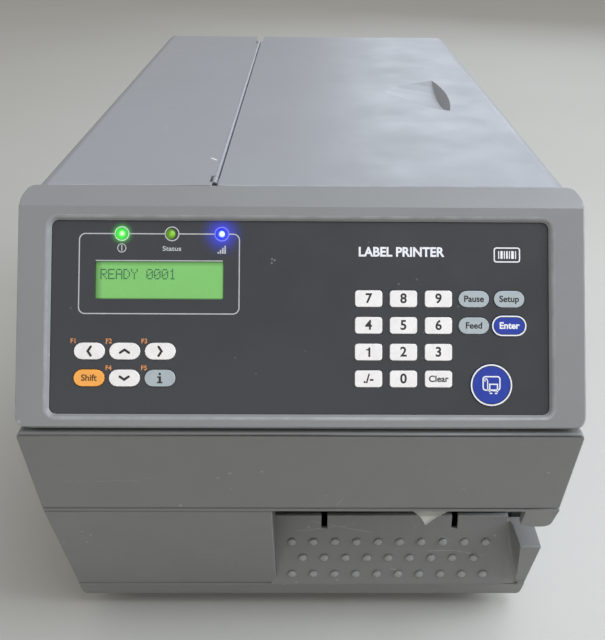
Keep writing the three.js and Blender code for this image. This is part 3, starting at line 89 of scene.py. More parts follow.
class Finish:
    """A Principled material in object coordinates, with short ways to add detail to it."""

    def __init__(self, name, roughness, metallic=0.0, specular=0.5):
        self.material = bpy.data.materials.new("finish_" + name)
        self.material.use_nodes = True
        self.tree = self.material.node_tree
        self.shader = self.tree.nodes["Principled BSDF"]
        self.shader.inputs["Roughness"].default_value = roughness
        self.shader.inputs["Metallic"].default_value = metallic
        self.shader.inputs["Specular IOR Level"].default_value = specular
        self.place = self.tree.nodes.new("ShaderNodeTexCoord").outputs["Object"]
        self.normal = None

    def add(self, kind, **values):
        node = self.tree.nodes.new(kind)
        for key, value in values.items():
            setattr(node, key, value)
        return node

    def feed(self, socket, value):
        if isinstance(value, bpy.types.NodeSocket):
            self.tree.links.new(value, socket)
        else:
            socket.default_value = value

    def stretched(self, stretch):
        if stretch == (1, 1, 1):
            return self.place
        node = self.add("ShaderNodeMapping")
        node.inputs["Scale"].default_value = stretch
        self.feed(node.inputs["Vector"], self.place)
        return node.outputs["Vector"]

    def noise(self, size, detail=2.0, stretch=(1, 1, 1)):
        """Soft noise whose features are about size metres across, from 0 to 1."""
        node = self.add("ShaderNodeTexNoise")
        self.feed(node.inputs["Vector"], self.stretched(stretch))
        node.inputs["Scale"].default_value = 1 / size
        node.inputs["Detail"].default_value = detail
        return node.outputs["Fac"]

    def cells(self, size, feature="F1", randomness=1.0):
        """Distance to the nearest of points about size metres apart, or to the borders between them."""
        node = self.add("ShaderNodeTexVoronoi", feature=feature)
        self.feed(node.inputs["Vector"], self.place)
        node.inputs["Scale"].default_value = 1 / size
        node.inputs["Randomness"].default_value = randomness
        return node.outputs["Distance"]

    def bent(self, value, low, high, out_low=0.0, out_high=1.0):
        """value from low..high brought to out_low..out_high, and held at the ends."""
        node = self.add("ShaderNodeMapRange")
        self.feed(node.inputs["Value"], value)
        limits = {"From Min": low, "From Max": high, "To Min": out_low, "To Max": out_high}
        for name, number in limits.items():
            node.inputs[name].default_value = number
        return node.outputs["Result"]

    def maths(self, operation, first, second=0.0):
        node = self.add("ShaderNodeMath", operation=operation)
        self.feed(node.inputs[0], first)
        self.feed(node.inputs[1], second)
        return node.outputs["Value"]

    def mixed(self, share, first, second, blend="MIX"):
        node = self.add("ShaderNodeMix", data_type="RGBA", blend_type=blend)
        self.feed(node.inputs["Factor"], share)
        self.feed(node.inputs[6], first)
        self.feed(node.inputs[7], second)
        return node.outputs[2]

    def axis(self, letter):
        """One object coordinate, in metres."""
        node = self.add("ShaderNodeSeparateXYZ")
        self.feed(node.inputs["Vector"], self.place)
        return node.outputs[letter]

    def along(self, direction, origin):
        """Distance from origin along direction, in metres."""
        shift = self.add("ShaderNodeVectorMath", operation="SUBTRACT")
        self.feed(shift.inputs[0], self.place)
        shift.inputs[1].default_value = origin
        dot = self.add("ShaderNodeVectorMath", operation="DOT_PRODUCT")
        self.feed(dot.inputs[0], shift.outputs["Vector"])
        dot.inputs[1].default_value = direction
        return dot.outputs["Value"]

    def near(self, point, inner, outer):
        """1 within inner metres of a point, falling to 0 at outer metres."""
        node = self.add("ShaderNodeVectorMath", operation="DISTANCE")
        self.feed(node.inputs[0], self.place)
        node.inputs[1].default_value = point
        return self.bent(node.outputs["Value"], inner, outer, 1.0, 0.0)

    def scratch(self, start, end, width, facing):
        """1 on a thin broken line from start to end, in millimetres, on a surface that faces facing."""
        start, end = Vector(start) * MM, Vector(end) * MM
        middle = tuple((start + end) / 2)
        reach = (end - start).length / 2
        across = Vector(facing).cross(end - start).normalized()
        swing = self.maths("SUBTRACT", self.noise(0.012), 0.5)
        waver = self.maths("MULTIPLY", swing, reach * SCRATCH_WAVER)
        away = self.maths("ABSOLUTE", self.maths("SUBTRACT", self.along(tuple(across), middle), waver))
        thin = self.bent(away, width * MM / 4, width * MM / 2, 1.0, 0.0)
        ends = self.near(middle, reach * 0.9, reach)
        broken = self.bent(self.noise(0.004, 3), 0.36, 0.5)
        return self.maths("MULTIPLY", self.maths("MULTIPLY", thin, ends), broken)

    def between(self, value, low, high):
        """1 where the value lies between low and high."""
        return self.maths("MULTIPLY", self.maths("GREATER_THAN", value, low),
                          self.maths("LESS_THAN", value, high))

    def on_studs(self):
        """1 on what stands proud of the ramp behind the label exit."""
        foot, top = Vector(RAMP_FOOT) * MM, Vector(RAMP_TOP) * MM
        up = (top - foot).normalized()
        out = Vector((0, -up.z, up.y))
        height = self.along(tuple(out), tuple(foot))
        proud = self.bent(height, STUD_LIGHTENING[0] * MM, STUD_LIGHTENING[1] * MM)
        near_ramp = self.maths("LESS_THAN", height, STUD_HEIGHT * MM)
        level = self.along(tuple(up), tuple(foot))
        on_ramp = self.between(level, RAMP_LEVELS[0] * MM, RAMP_LEVELS[1] * MM)
        between_sides = self.between(self.axis("X"), RAMP_SIDES[0] * MM, RAMP_SIDES[1] * MM)
        place = self.maths("MULTIPLY", self.maths("MULTIPLY", on_ramp, between_sides), near_ramp)
        return self.maths("MULTIPLY", proud, place)

    def bump(self, height, depth, strength):
        """Raises the surface by height (0 to 1) times depth metres."""
        node = self.add("ShaderNodeBump")
        node.inputs["Strength"].default_value = strength
        node.inputs["Distance"].default_value = depth
        self.feed(node.inputs["Height"], height)
        if self.normal is not None:
            self.feed(node.inputs["Normal"], self.normal)
        self.normal = node.outputs["Normal"]
        self.feed(self.shader.inputs["Normal"], self.normal)

    def colour(self, value):
        self.feed(self.shader.inputs["Base Color"], value)

    def roughness(self, value):
        self.feed(self.shader.inputs["Roughness"], value)


def mottled(finish, colour, spread, size):
    """The colour with slow lighter and darker patches and a fine grain, as plastic and paint have."""
    patches = finish.mixed(finish.bent(finish.noise(size, 3), 0.35, 0.65),
                           scaled(colour, 1 - spread), scaled(colour, 1 + spread))
    speck = finish.bent(finish.noise(0.0011, 2), 0.3, 0.7, 1 - spread * 0.8, 1 + spread * 0.8)
    node = finish.add("ShaderNodeVectorMath", operation="SCALE")
    finish.feed(node.inputs[0], patches)
    finish.feed(node.inputs["Scale"], speck)
    return node.outputs["Vector"]


def dusted(finish, colour, dust=(0.52, 0.53, 0.55, 1.0), amount=0.5, size=0.006):
    """Adds sparse pale specks of dust."""
    specks = finish.bent(finish.cells(size), 0.05, 0.11, amount, 0.0)
    some = finish.bent(finish.noise(size * 4, 1), 0.56, 0.62)
    return finish.mixed(finish.maths("MULTIPLY", specks, some), colour, dust)


# ---------------------------------------------------------------- console face

def joint_named(name):
    return next(joint for joint in frame["joints"] if joint["name"] == name)


FACE_OUT = -Vector(joint_named("key_5_press")["axis"]).normalized()
FACE_RIGHT = Vector((1, 0, 0))
FACE_UP = FACE_OUT.cross(FACE_RIGHT)
FACE_TURN = Matrix((FACE_RIGHT, FACE_UP, FACE_OUT)).transposed().to_4x4()


def face_box(name, origin=Vector((0, 0, 0))):
    """Lowest and highest (right, up, out) of a node in console coordinates, in metres."""
    points = [v.co - origin for v in NODES[name].data.vertices]
    rows = [(p.dot(FACE_RIGHT), p.dot(FACE_UP), p.dot(FACE_OUT)) for p in points]
    return Vector([min(c) for c in zip(*rows)]), Vector([max(c) for c in zip(*rows)])


overlay_low, overlay_high = face_box("keypad_overlay")
overlay_mid = (overlay_low + overlay_high) / 2
FACE_ORIGIN = FACE_RIGHT * overlay_mid.x + FACE_UP * overlay_mid.y + FACE_OUT * overlay_high.z


def on_face(right, up, out=0.0):
    """A point of the console in the row frame: millimetres from the middle of the overlay's top."""
    return FACE_ORIGIN + (FACE_RIGHT * right + FACE_UP * up + FACE_OUT * out) * MM


def face_matrix(right, up, out):
    return Matrix.Translation(on_face(right, up, out)) @ FACE_TURN


def key_place(name):
    """Centre of a key's top in console millimetres: right, up, out."""
    low, high = face_box(name, FACE_ORIGIN)
    return (low.x + high.x) / 2 / MM, (low.y + high.y) / 2 / MM, high.z / MM


LAMP_UP = 40.5
LAMP_RADIUS = 2.4
LAMP_OUT = -0.2
LAMPS = {"power": -87.3, "status": -62.9, "network": -38.6}
LAMP_LIGHT = {"power": linear(60, 235, 60), "status": linear(140, 215, 20), "network": linear(30, 50, 255)}
LAMP_WHITE = {
    "power": (0.9, 1.3, 0.75, 1.0),
    "status": (0.24, 0.6, 0.01, 1.0),
    "network": (1.2, 1.6, 2.2, 1.0),
}
LAMP_CORE = {"power": (0.7, 1.0), "status": (0.9, 0.35), "network": (0.9, 1.3)}  # radius in mm, strength
LAMP_HALO = {"power": 7, "network": 14}  # how far each lamp lights the film, in mm
DISPLAY_LEFT, DISPLAY_RIGHT = -99.9, -38.1
DISPLAY_BOTTOM, DISPLAY_TOP = 9.0, 26.8


def lamp_point(name):
    return tuple(on_face(LAMPS[name], LAMP_UP, LAMP_OUT))


def display_window():
    """The lower left and upper right corners of the display's window."""
    return on_face(DISPLAY_LEFT, DISPLAY_BOTTOM), on_face(DISPLAY_RIGHT, DISPLAY_TOP)


# ---------------------------------------------------------------- finishes

COVER_GREY = linear(146, 147, 151)
MOULDING_GREY = linear(134, 134, 134)
LOWER_GREY = linear(122, 122, 121)


def chipped(finish, colour, base, worn_and_highlit):
    """On rounded edges, the colour made paler in broken stretches: partly edge wear, partly a painted
    highlight along the edges.
    """
    if not worn_and_highlit:
        return colour
    # partly wear, partly a painted edge highlight: the edge copy turns lighter in broken stretches
    lightened = finish.bent(finish.noise(0.009, 4), 0.4, 0.62, 0.25, 0.8)
    return finish.mixed(lightened, colour, scaled(base, 1.4))


CHIP = ((-50.2, -134.3, 283), (-46.6, -138.6, 283), 1.3)  # start, end and width of a chip by the hinge, in mm


def cover_paint(worn_and_highlit=False):
    finish = Finish("cover_paint" + "_edge" * worn_and_highlit, 0.42, specular=0.5)
    colour = chipped(finish, mottled(finish, COVER_GREY, 0.018, 0.12), COVER_GREY, worn_and_highlit)
    chip = finish.scratch(*CHIP, facing=(0, 0, 1))
    colour = finish.mixed(chip, colour, (0.85, 0.86, 0.88, 1.0))
    finish.colour(dusted(finish, colour, amount=0.3, size=0.012))
    finish.roughness(finish.bent(finish.noise(0.03, 4), 0.3, 0.7, 0.36, 0.48))
    finish.bump(finish.noise(0.0016, 2), 0.00005, 0.7)
    return finish


def moulding(name, base, worn_and_highlit, marks=()):
    """Grained moulded plastic, with scratches at marks: start, end and width in millimetres."""
    finish = Finish(name + "_edge" * worn_and_highlit, 0.42, specular=0.5)
    colour = chipped(finish, mottled(finish, base, 0.022, 0.09), base, worn_and_highlit)
    for start, end, width in marks:
        line = finish.scratch(start, end, width, facing=(0, -1, 0))
        colour = finish.mixed(line, colour, scaled(base, 1.7))
    finish.colour(dusted(finish, colour, amount=0.35, size=0.01))
    finish.roughness(finish.bent(finish.noise(0.025, 4), 0.3, 0.7, 0.36, 0.48))
    finish.bump(finish.noise(0.0009, 2), 0.00004, 0.8)
    return finish


def bezel_plastic(worn_and_highlit=False):
    return moulding("bezel_plastic", MOULDING_GREY, worn_and_highlit)


SCRATCHES = (  # start, end and width on the ramp, the front door and the lower panel, in millimetres
    ((75.7, -194.3, 55.3), (92.7, -194.3, 56.1), 0.5),
    ((92.7, -194.3, 56.1), (113.2, -194.8, 50.9), 0.55),
    ((83.5, -193.1, 66.7), (94.8, -193.8, 60.5), 0.45),
    ((-3.7, -192.8, 69.9), (22.6, -192.4, 73.5), 0.35),
    ((4.6, -191.9, 77.0), (43.7, -193.0, 68.5), 0.35),
    ((22.6, -192.4, 73.0), (34.5, -192.1, 75.6), 0.3),
    ((53.8, -195.7, 42.6), (61.3, -196.0, 39.6), 0.6),
    ((-124.2, -232.6, 142.5), (-81.3, -232.6, 142.6), 0.3),
    ((22.2, -229.3, 129.2), (18.2, -227.6, 122.1), 0.3),
    ((-59.7, -209.6, 69.9), (-46.4, -209.6, 69.9), 0.3),
)


def lower_plastic(worn_and_highlit=False):
    """The moulding of the door and the lower front, lighter on the tops of the studs behind the label exit.
    """
    finish = moulding("lower_plastic", LOWER_GREY, worn_and_highlit, SCRATCHES)
    colour = finish.shader.inputs["Base Color"].links[0].from_socket
    lightened = finish.on_studs()
    finish.colour(finish.mixed(finish.maths("MULTIPLY", lightened, 0.8), colour, scaled(LOWER_GREY, 1.75)))
    return finish


def overlay_film():
    """The console's printed film, lit softly around the lamps."""
    finish = Finish("overlay_film", 0.36, specular=0.5)
    base = linear(58, 59, 63)
    colour = mottled(finish, base, 0.04, 0.11)
    finish.colour(dusted(finish, colour, (0.3, 0.31, 0.34, 1.0), 0.5, 0.007))
    finish.roughness(finish.bent(finish.noise(0.02, 4), 0.3, 0.7, 0.3, 0.42))
    finish.bump(finish.noise(0.0006, 2), 0.00001, 0.7)
    glow = (0.0, 0.0, 0.0, 1.0)
    for name, reach in LAMP_HALO.items():
        fall = finish.near(lamp_point(name), LAMP_RADIUS * MM, reach * MM)
        soft = finish.maths("POWER", fall, 3.0)
        glow = finish.mixed(soft, glow, scaled(LAMP_LIGHT[name], 0.8), "ADD")
    finish.feed(finish.shader.inputs["Emission Color"], glow)
    finish.shader.inputs["Emission Strength"].default_value = 1.0
    return finish


def lamp_lens():
    """Clear lens plastic that glows in each lamp's own colour, whitest off centre."""
    finish = Finish("lamp_lens", 0.2)
    finish.colour(mottled(finish, linear(40, 52, 40), 0.06, 0.002))
    finish.roughness(finish.bent(finish.noise(0.001, 2), 0.3, 0.7, 0.14, 0.26))
    glow = (0.0, 0.0, 0.0, 1.0)
    for name, (core, strength) in LAMP_CORE.items():
        middle = lamp_point(name)
        whole = finish.near(middle, LAMP_RADIUS * 1.4 * MM, LAMP_RADIUS * 1.5 * MM)
        glow = finish.mixed(whole, glow, scaled(LAMP_LIGHT[name], strength))
        bright = finish.near(middle, core * MM, (core + 0.9) * MM)
        glow = finish.mixed(bright, glow, LAMP_WHITE[name])
    finish.feed(finish.shader.inputs["Emission Color"], glow)
    finish.shader.inputs["Emission Strength"].default_value = 1.0
    return finish


def display_glass():
    """The back-lit display: evenly green, shaded by its frame along the left and top edges."""
    finish = Finish("display_glass", 0.16)
    base = linear(96, 148, 82)
    low, high = display_window()
    right = finish.along(tuple(FACE_RIGHT), tuple(low))
    down = finish.along(tuple(-FACE_UP), tuple(high))
    left_shade = finish.bent(right, 0.0, 0.0035, 0.35, 1.0)
    top_shade = finish.bent(down, 0.0, 0.0022, 0.45, 1.0)
    lit = finish.maths("MULTIPLY", left_shade, top_shade)
    finish.colour(finish.mixed(lit, scaled(base, 0.3), mottled(finish, base, 0.03, 0.02)))
    finish.roughness(finish.bent(finish.noise(0.008, 3), 0.3, 0.7, 0.12, 0.22))
    even = finish.bent(finish.noise(0.03, 1), 0.3, 0.7, 0.9, 1.08)
    glow = finish.maths("MULTIPLY", lit, even)
    lit_colour = finish.mixed(glow, scaled(base, 0.1), scaled(base, 1.0))
    finish.feed(finish.shader.inputs["Emission Color"], lit_colour)
    finish.shader.inputs["Emission Strength"].default_value = 0.9
    return finish


def plain_plastic(name, colour, roughness):
    finish = Finish(name, roughness)
    finish.colour(mottled(finish, colour, 0.05, 0.03))
    finish.roughness(finish.bent(finish.noise(0.01, 3), 0.3, 0.7, roughness - 0.06, roughness + 0.08))
    finish.bump(finish.noise(0.0009, 2), 0.00003, 0.7)
    return finish


def metal(name, colour, roughness, brushed=(1, 1, 1)):
    finish = Finish(name, roughness, 1.0)
    finish.colour(mottled(finish, colour, 0.08, 0.04))
    streaks = finish.noise(0.004, 4, brushed)
    finish.roughness(finish.bent(streaks, 0.3, 0.7, roughness - 0.08, roughness + 0.12))
    finish.bump(streaks, 0.00001, 0.6)
    return finish


def rubber(name, colour):
    finish = Finish(name, 0.8, specular=0.3)
    finish.colour(mottled(finish, colour, 0.12, 0.01))
    finish.roughness(finish.bent(finish.noise(0.004, 3), 0.3, 0.7, 0.7, 0.9))
    finish.bump(finish.noise(0.0005, 2), 0.00004, 0.8)
    return finish


BOARD_BACK = -35.4  # the main board's parts stand off this plane of X, in millimetres
BOARD_FRONT = -60  # the main board is behind this Y, the console's board is in front of it
SOCKET_MOUTH = 233.5  # the rear sockets' steel rims start at this Y


def circuit_board():
    """Green board with pale tracks; the main board's parts are black, its rear sockets' rims are steel."""
    finish = Finish("circuit_board", 0.38)
    green = linear(30, 84, 58)
    tracks = finish.bent(finish.cells(0.005, "DISTANCE_TO_EDGE", randomness=0.35), 0.05, 0.09)
    board = finish.mixed(tracks, scaled(green, 1.55), mottled(finish, green, 0.06, 0.02))
    back = finish.axis("Y")
    standing = finish.maths("MULTIPLY", finish.maths("LESS_THAN", finish.axis("X"), BOARD_BACK * MM),
                            finish.maths("GREATER_THAN", back, BOARD_FRONT * MM))
    rim = finish.maths("MULTIPLY", standing, finish.maths("GREATER_THAN", back, SOCKET_MOUTH * MM))
    parts = finish.mixed(standing, board, mottled(finish, linear(38, 38, 40), 0.06, 0.01))
    finish.colour(finish.mixed(rim, parts, mottled(finish, linear(186, 187, 190), 0.05, 0.01)))
    finish.feed(finish.shader.inputs["Metallic"], rim)
    finish.roughness(finish.bent(finish.noise(0.004, 3), 0.3, 0.7, 0.3, 0.46))
    bare = finish.maths("SUBTRACT", 1.0, standing)
    finish.bump(finish.maths("MULTIPLY", tracks, bare), 0.00004, 0.6)
    return finish


def paper():
    finish = Finish("label_paper", 0.75, specular=0.25)
    finish.colour(mottled(finish, linear(236, 235, 230), 0.03, 0.008))
    finish.roughness(finish.bent(finish.noise(0.003, 3), 0.3, 0.7, 0.66, 0.84))
    finish.bump(finish.noise(0.0007, 3, (1, 4, 1)), 0.00004, 0.8)
    return finish


def key_finish(name, red, green, blue):
    finish = Finish(name, 0.4)
    base = linear(red, green, blue)
    finish.colour(mottled(finish, base, 0.035, 0.006))
    finish.roughness(finish.bent(finish.noise(0.002, 3), 0.3, 0.7, 0.34, 0.48))
    finish.bump(finish.noise(0.0004, 2), 0.00001, 0.6)
    return finish


FINISHES = {
    "cover_paint": cover_paint(),
    "bezel_plastic": bezel_plastic(),
    "lower_plastic": lower_plastic(),
    "overlay_film": overlay_film(),
    "display_glass": display_glass(),
    "lamp_lens": lamp_lens(),
    "circuit_board": circuit_board(),
    "bright_steel": metal("bright_steel", linear(205, 205, 208), 0.28, (1, 1, 14)),
    "sheet_steel": metal("sheet_steel", linear(172, 174, 176), 0.42, (1, 9, 1)),
    "black_plastic": plain_plastic("black_plastic", linear(34, 34, 36), 0.46),
    "grey_plastic": plain_plastic("grey_plastic", linear(96, 98, 102), 0.48),
    "foot_rubber": rubber("foot_rubber", linear(38, 38, 39)),
    "platen_rubber": rubber("platen_rubber", linear(30, 30, 32)),
    "pinion_brass": metal("pinion_brass", linear(204, 172, 104), 0.32),
    "head_aluminium": metal("head_aluminium", linear(196, 198, 200), 0.36, (1, 10, 10)),
    "motor_casing": metal("motor_casing", linear(70, 71, 74), 0.4),
    "lever_plastic": plain_plastic("lever_plastic", linear(58, 106, 150), 0.42),
    "label_paper": paper(),
    "key_white": key_finish("key_white", 241, 236, 233),
    "key_grey": key_finish("key_grey", 172, 180, 184),
    "key_orange": key_finish("key_orange", 252, 172, 78),
    "key_blue": key_finish("key_blue", 34, 58, 158),
}
# Copies for the rounded edges, lighter in broken stretches: partly wear, partly a painted edge highlight.
EDGE_FINISHES = {
    "cover_paint": cover_paint(worn_and_highlit=True),
    "bezel_plastic": bezel_plastic(worn_and_highlit=True),
    "lower_plastic": lower_plastic(worn_and_highlit=True),
}


def slot_of(obj):
    """The finish that a CAD node's own material names."""
    return obj.material_slots[0].material.name.split(".")[0]


# ---------------------------------------------------------------- CAD nodes

EDGE_ROUND = {  # node: (edge radius in mm, steps)
    "left_cover": (0.6, 3),
    "side_door": (0.6, 3),
    "console_bezel": (0.9, 3),
    "front_door": (0.8, 3),
    "lower_front": (0.6, 3),
    "keypad_overlay": (0.15, 2),
    "key_print": (0.35, 3),
    "rear_panel": (0.4, 2),
    "platen_gear": (0.1, 1),
    "motor_pinion": (0.1, 1),
    "tear_bar": (0.1, 1),
    "light_guide": (0.1, 1),
}
KEY_ROUND = (0.3, 3)
PLAIN_ROUND = (0.3, 2)
CRISP_ZONES = {  # node: boxes in millimetres whose edges stay crisp, such as the hinge barrel and the seams
    "left_cover": [((-48, -250, 270), (-40.5, 250, 290))],
    "side_door": [((-48, -250, 270), (-40.5, 250, 290)), ((50, -60, 260), (104, 80, 290))],
    "console_bezel": [((-140, -186, 0), (140, -176, 290))],
    "label_remnant": [((0, -250, 0), (140, 0, 290))],
}
SHARP_COSINE = math.cos(math.radians(31))
FLAT_COSINE = math.cos(math.radians(0.5))
FLAT_WIDTH = 6 * MM
ROOM_NEEDED = 3.2  # widths of rounding that a face must reach across an edge


def rounded_place(point):
    return tuple(round(c, 6) for c in point)


def flat_regions(mesh):
    """Groups of triangles that lie in one plane and touch, as lists of face indices."""
    corner_of = {}
    for face in mesh.polygons:
        for v in face.vertices:
            corner_of.setdefault(rounded_place(mesh.vertices[v].co), []).append(face.index)
    touching = {face.index: set() for face in mesh.polygons}
    for faces in corner_of.values():
        for index in faces:
            touching[index].update(faces)
    seen, regions = set(), []
    for face in mesh.polygons:
        if face.index in seen:
            continue
        region, waiting = [], [face.index]
        seen.add(face.index)
        while waiting:
            index = waiting.pop()
            region.append(index)
            for other in touching[index] - seen:
                if mesh.polygons[other].normal.dot(face.normal) > FLAT_COSINE:
                    seen.add(other)
                    waiting.append(other)
        regions.append(region)
    return regions


def shade_regions(mesh):
    """Shades wide flat faces flat and the rest smooth; returns each face's plane and points."""
    place_of = {}
    for region in flat_regions(mesh):
        faces = [mesh.polygons[index] for index in region]
        points = [mesh.vertices[v].co for face in faces for v in face.vertices]
        spans = [max(axis) - min(axis) for axis in zip(*points)]
        wide = sum(face.area for face in faces) / max(spans) > FLAT_WIDTH
        for face in faces:
            face.use_smooth = not wide
            place_of[face.index] = (face.normal.copy(), points)
    return place_of


def room_across(plane, run):
    """How far a flat region reaches across an edge that runs along it."""
    normal, points = plane
    across = normal.cross(run)
    reach = [point.dot(across) for point in points]
    return max(reach) - min(reach)


def inside(point, zone):
    return all(low * MM < value < high * MM for low, value, high in zip(zone[0], point, zone[1]))


def mark_edges(mesh, planes, width, zones):
    """Marks each outward edge whose faces leave room for rounding, and keeps the other edges sharp."""
    sides = {}
    for face in mesh.polygons:
        for loop in face.loop_indices:
            edge = mesh.loops[loop].edge_index
            ends = frozenset(rounded_place(mesh.vertices[v].co) for v in mesh.edges[edge].vertices)
            sides.setdefault(ends, []).append((edge, face))
    weight = mesh.attributes.new("bevel_weight_edge", "FLOAT", "EDGE")
    sharp = mesh.attributes.new("sharp_edge", "BOOLEAN", "EDGE")
    for ends, pair in sides.items():
        if len(pair) != 2 or len(ends) != 2 or pair[0][1].normal.dot(pair[1][1].normal) > SHARP_COSINE:
            continue
        start, end = (Vector(point) for point in ends)
        first, second = pair[0][1], pair[1][1]
        inward = (second.center - first.center).dot(first.normal) > 0
        room = min(room_across(planes[face.index], (end - start).normalized()) for face in (first, second))
        crisp = inward or room < width * ROOM_NEEDED or any(inside((start + end) / 2, zone) for zone in zones)
        for edge, _ in pair:
            sharp.data[edge].value = crisp
            weight.data[edge].value = 0.0 if crisp else 1.0


def soften(name, obj):
    """Rounds a CAD node's outward edges with a modifier, and shades its curved faces smooth."""
    mesh = obj.data
    for attribute in ("custom_normal", "sharp_edge", "sharp_face"):
        if attribute in mesh.attributes:
            mesh.attributes.remove(mesh.attributes[attribute])
    width, steps = EDGE_ROUND.get(name, KEY_ROUND if name.startswith("key_") else PLAIN_ROUND)
    mark_edges(mesh, shade_regions(mesh), width * MM, CRISP_ZONES.get(name, ()))
    weld = obj.modifiers.new("weld", "WELD")
    weld.merge_threshold = 1e-6
    bevel = obj.modifiers.new("edge_round", "BEVEL")
    bevel.width = width * MM
    bevel.segments = steps
    bevel.limit_method = "WEIGHT"
    bevel.use_clamp_overlap = False
    bevel.loop_slide = False


for node_name, node in NODES.items():
    node_slot = slot_of(node)
    node.material_slots[0].material = FINISHES[node_slot].material
    soften(node_name, node)
    # the rounded edges take the lighter copy: partly wear, partly a painted edge highlight
    if node_slot in EDGE_FINISHES:
        node.data.materials.append(EDGE_FINISHES[node_slot].material)
        node.modifiers["edge_round"].material = 1


# ---------------------------------------------------------------- printed graphics

INK_PROUD = 0.03  # millimetres over the surface
INK_DEPTH = 0.02
CAPITAL_SHARE = 0.72  # height of a capital over the size of the type


def arc(centre, radius, start, end, steps=10):
    """Points of an arc, angles in degrees."""
    turn = [math.radians(start + (end - start) * i / steps) for i in range(steps + 1)]
    return [(centre[0] + radius * math.cos(t), centre[1] + radius * math.sin(t)) for t in turn]


def rounded_rect(left, bottom, right, top, radius):
    """Corner arcs of a rounded rectangle, anticlockwise."""
    points = []
    for x, y, start in ((right, bottom, -90), (right, top, 0), (left, top, 90), (left, bottom, 180)):
        inward = (x - math.copysign(radius, x - (left + right) / 2),
                  y - math.copysign(radius, y - (bottom + top) / 2))
        points += arc(inward, radius, start, start + 90, 8)
    return points


def circle(radius, centre=(0, 0), steps=48):
    return arc(centre, radius, 0, 360 - 360 / steps, steps - 1)


def stroke(points, width):
    """The outline of a line of that width through points, with round ends and mitred turns."""
    def side(path):
        out = []
        for i, here in enumerate(path):
            before = Vector(path[max(i - 1, 0)])
            after = Vector(path[min(i + 1, len(path) - 1)])
            here = Vector(here)
            into = (here - before).normalized() if i else (after - here).normalized()
            away = (after - here).normalized() if i < len(path) - 1 else into
            turn = (Vector((-into.y, into.x)) + Vector((-away.y, away.x))).normalized()
            reach = width / 2 / max(0.3, turn.dot(Vector((-into.y, into.x))))
            out.append(tuple(here + turn * reach))
        return out

    def cap(path):
        end, before = Vector(path[-1]), Vector(path[-2])
        way = math.degrees(math.atan2((end - before).y, (end - before).x))
        return arc(end, width / 2, way + 90, way - 90, 8)[1:-1]

    back = points[::-1]
    return side(points) + cap(points) + side(back) + cap(back)


def inlay(name, loops, where, finish, body):
    """A thin printed shape on the console: closed loops in millimetres about where (right, up, out)."""
    curve = bpy.data.curves.new(name, "CURVE")
    curve.dimensions = "2D"
    curve.fill_mode = "BOTH"
    curve.extrude = INK_DEPTH * MM / 2
    for loop in loops:
        spline = curve.splines.new("POLY")
        spline.points.add(len(loop) - 1)
        for point, (x, y) in zip(spline.points, loop):
            point.co = (x * MM, y * MM, 0, 1)
        spline.use_cyclic_u = True
    return laid(name, curve, where, finish, body)


def lettering(name, text, height, where, finish, body, bold=0.0, width=None):
    """Centred text with capitals of that height in millimetres."""
    font = bpy.data.curves.new(name, "FONT")
    font.body = text
    font.align_x = "CENTER"
    font.align_y = "CENTER"
    font.size = height * MM / CAPITAL_SHARE
    font.offset = bold * MM
    font.extrude = INK_DEPTH * MM / 2
    font.resolution_u = 4
    piece = laid(name, font, where, finish, body)
    if width is not None:
        bpy.context.view_layer.update()
        stretch = width * MM / piece.dimensions.x
        piece.matrix_world = piece.matrix_world @ Matrix.Scale(stretch, 4, (1, 0, 0))
        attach(piece, body)
    return piece


def laid(name, data, where, finish, body):
    piece = bpy.data.objects.new(name, data)
    bpy.context.scene.collection.objects.link(piece)
    data.materials.append(finish.material)
    piece.matrix_world = face_matrix(*where)
    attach(piece, body)
    return piece


def ink(name, red, green, blue):
    finish = Finish(name, 0.5)
    finish.colour(mottled(finish, linear(red, green, blue), 0.06, 0.004))
    finish.roughness(finish.bent(finish.noise(0.0015, 2), 0.3, 0.7, 0.44, 0.58))
    return finish


# black: printed legends and marks, and the painted shadow along the film's edge
BLACK_INK_AND_SHADOW = ink("ink_black_and_shadow", 38, 38, 40)
WHITE_INK = ink("ink_white", 236, 236, 240)
# silver: printed lines and marks, and the painted highlight along the display window's top edge
SILVER_INK_AND_HIGHLIGHT = ink("ink_silver_and_highlight", 186, 187, 188)
ORANGE_INK = ink("ink_orange", 232, 150, 84)
BROWN_INK = ink("ink_brown", 96, 60, 20)
DISPLAY_INK = ink("ink_display", 44, 92, 74)
LAMP_RING_INK = {
    "power": ink("ink_power_ring", 196, 232, 196),
    "status": SILVER_INK_AND_HIGHLIGHT,
    "network": ink("ink_network_ring", 130, 130, 250),
}

LEGENDS = {  # key: (legend, capital height, boldness)
    **{f"key_{digit}": (str(digit), 4.7, 0.16) for digit in range(10) if digit != 1},
    "key_point": ("./-", 4.4, 0.14),
    "key_clear": ("Clear", 3.1, 0.1),
    "key_pause": ("Pause", 3.1, 0.1),
    "key_setup": ("Setup", 3.1, 0.1),
    "key_feed": ("Feed", 3.1, 0.1),
    "key_enter": ("Enter", 3.2, 0.14),
    "key_shift": ("Shift", 3.1, 0.1),
}


def key_legends():
    for key, (text, height, bold) in LEGENDS.items():
        right, up, out = key_place(key)
        finish = WHITE_INK if key == "key_enter" else BROWN_INK if key == "key_shift" else BLACK_INK_AND_SHADOW
        where = (right, up, out + INK_PROUD)
        lettering(key + "_legend", text, height, where, finish, key, bold)


CHEVRON_REACH = 1.45
CHEVRON_SPAN = 2.15
CHEVRON_LINE = 1.15


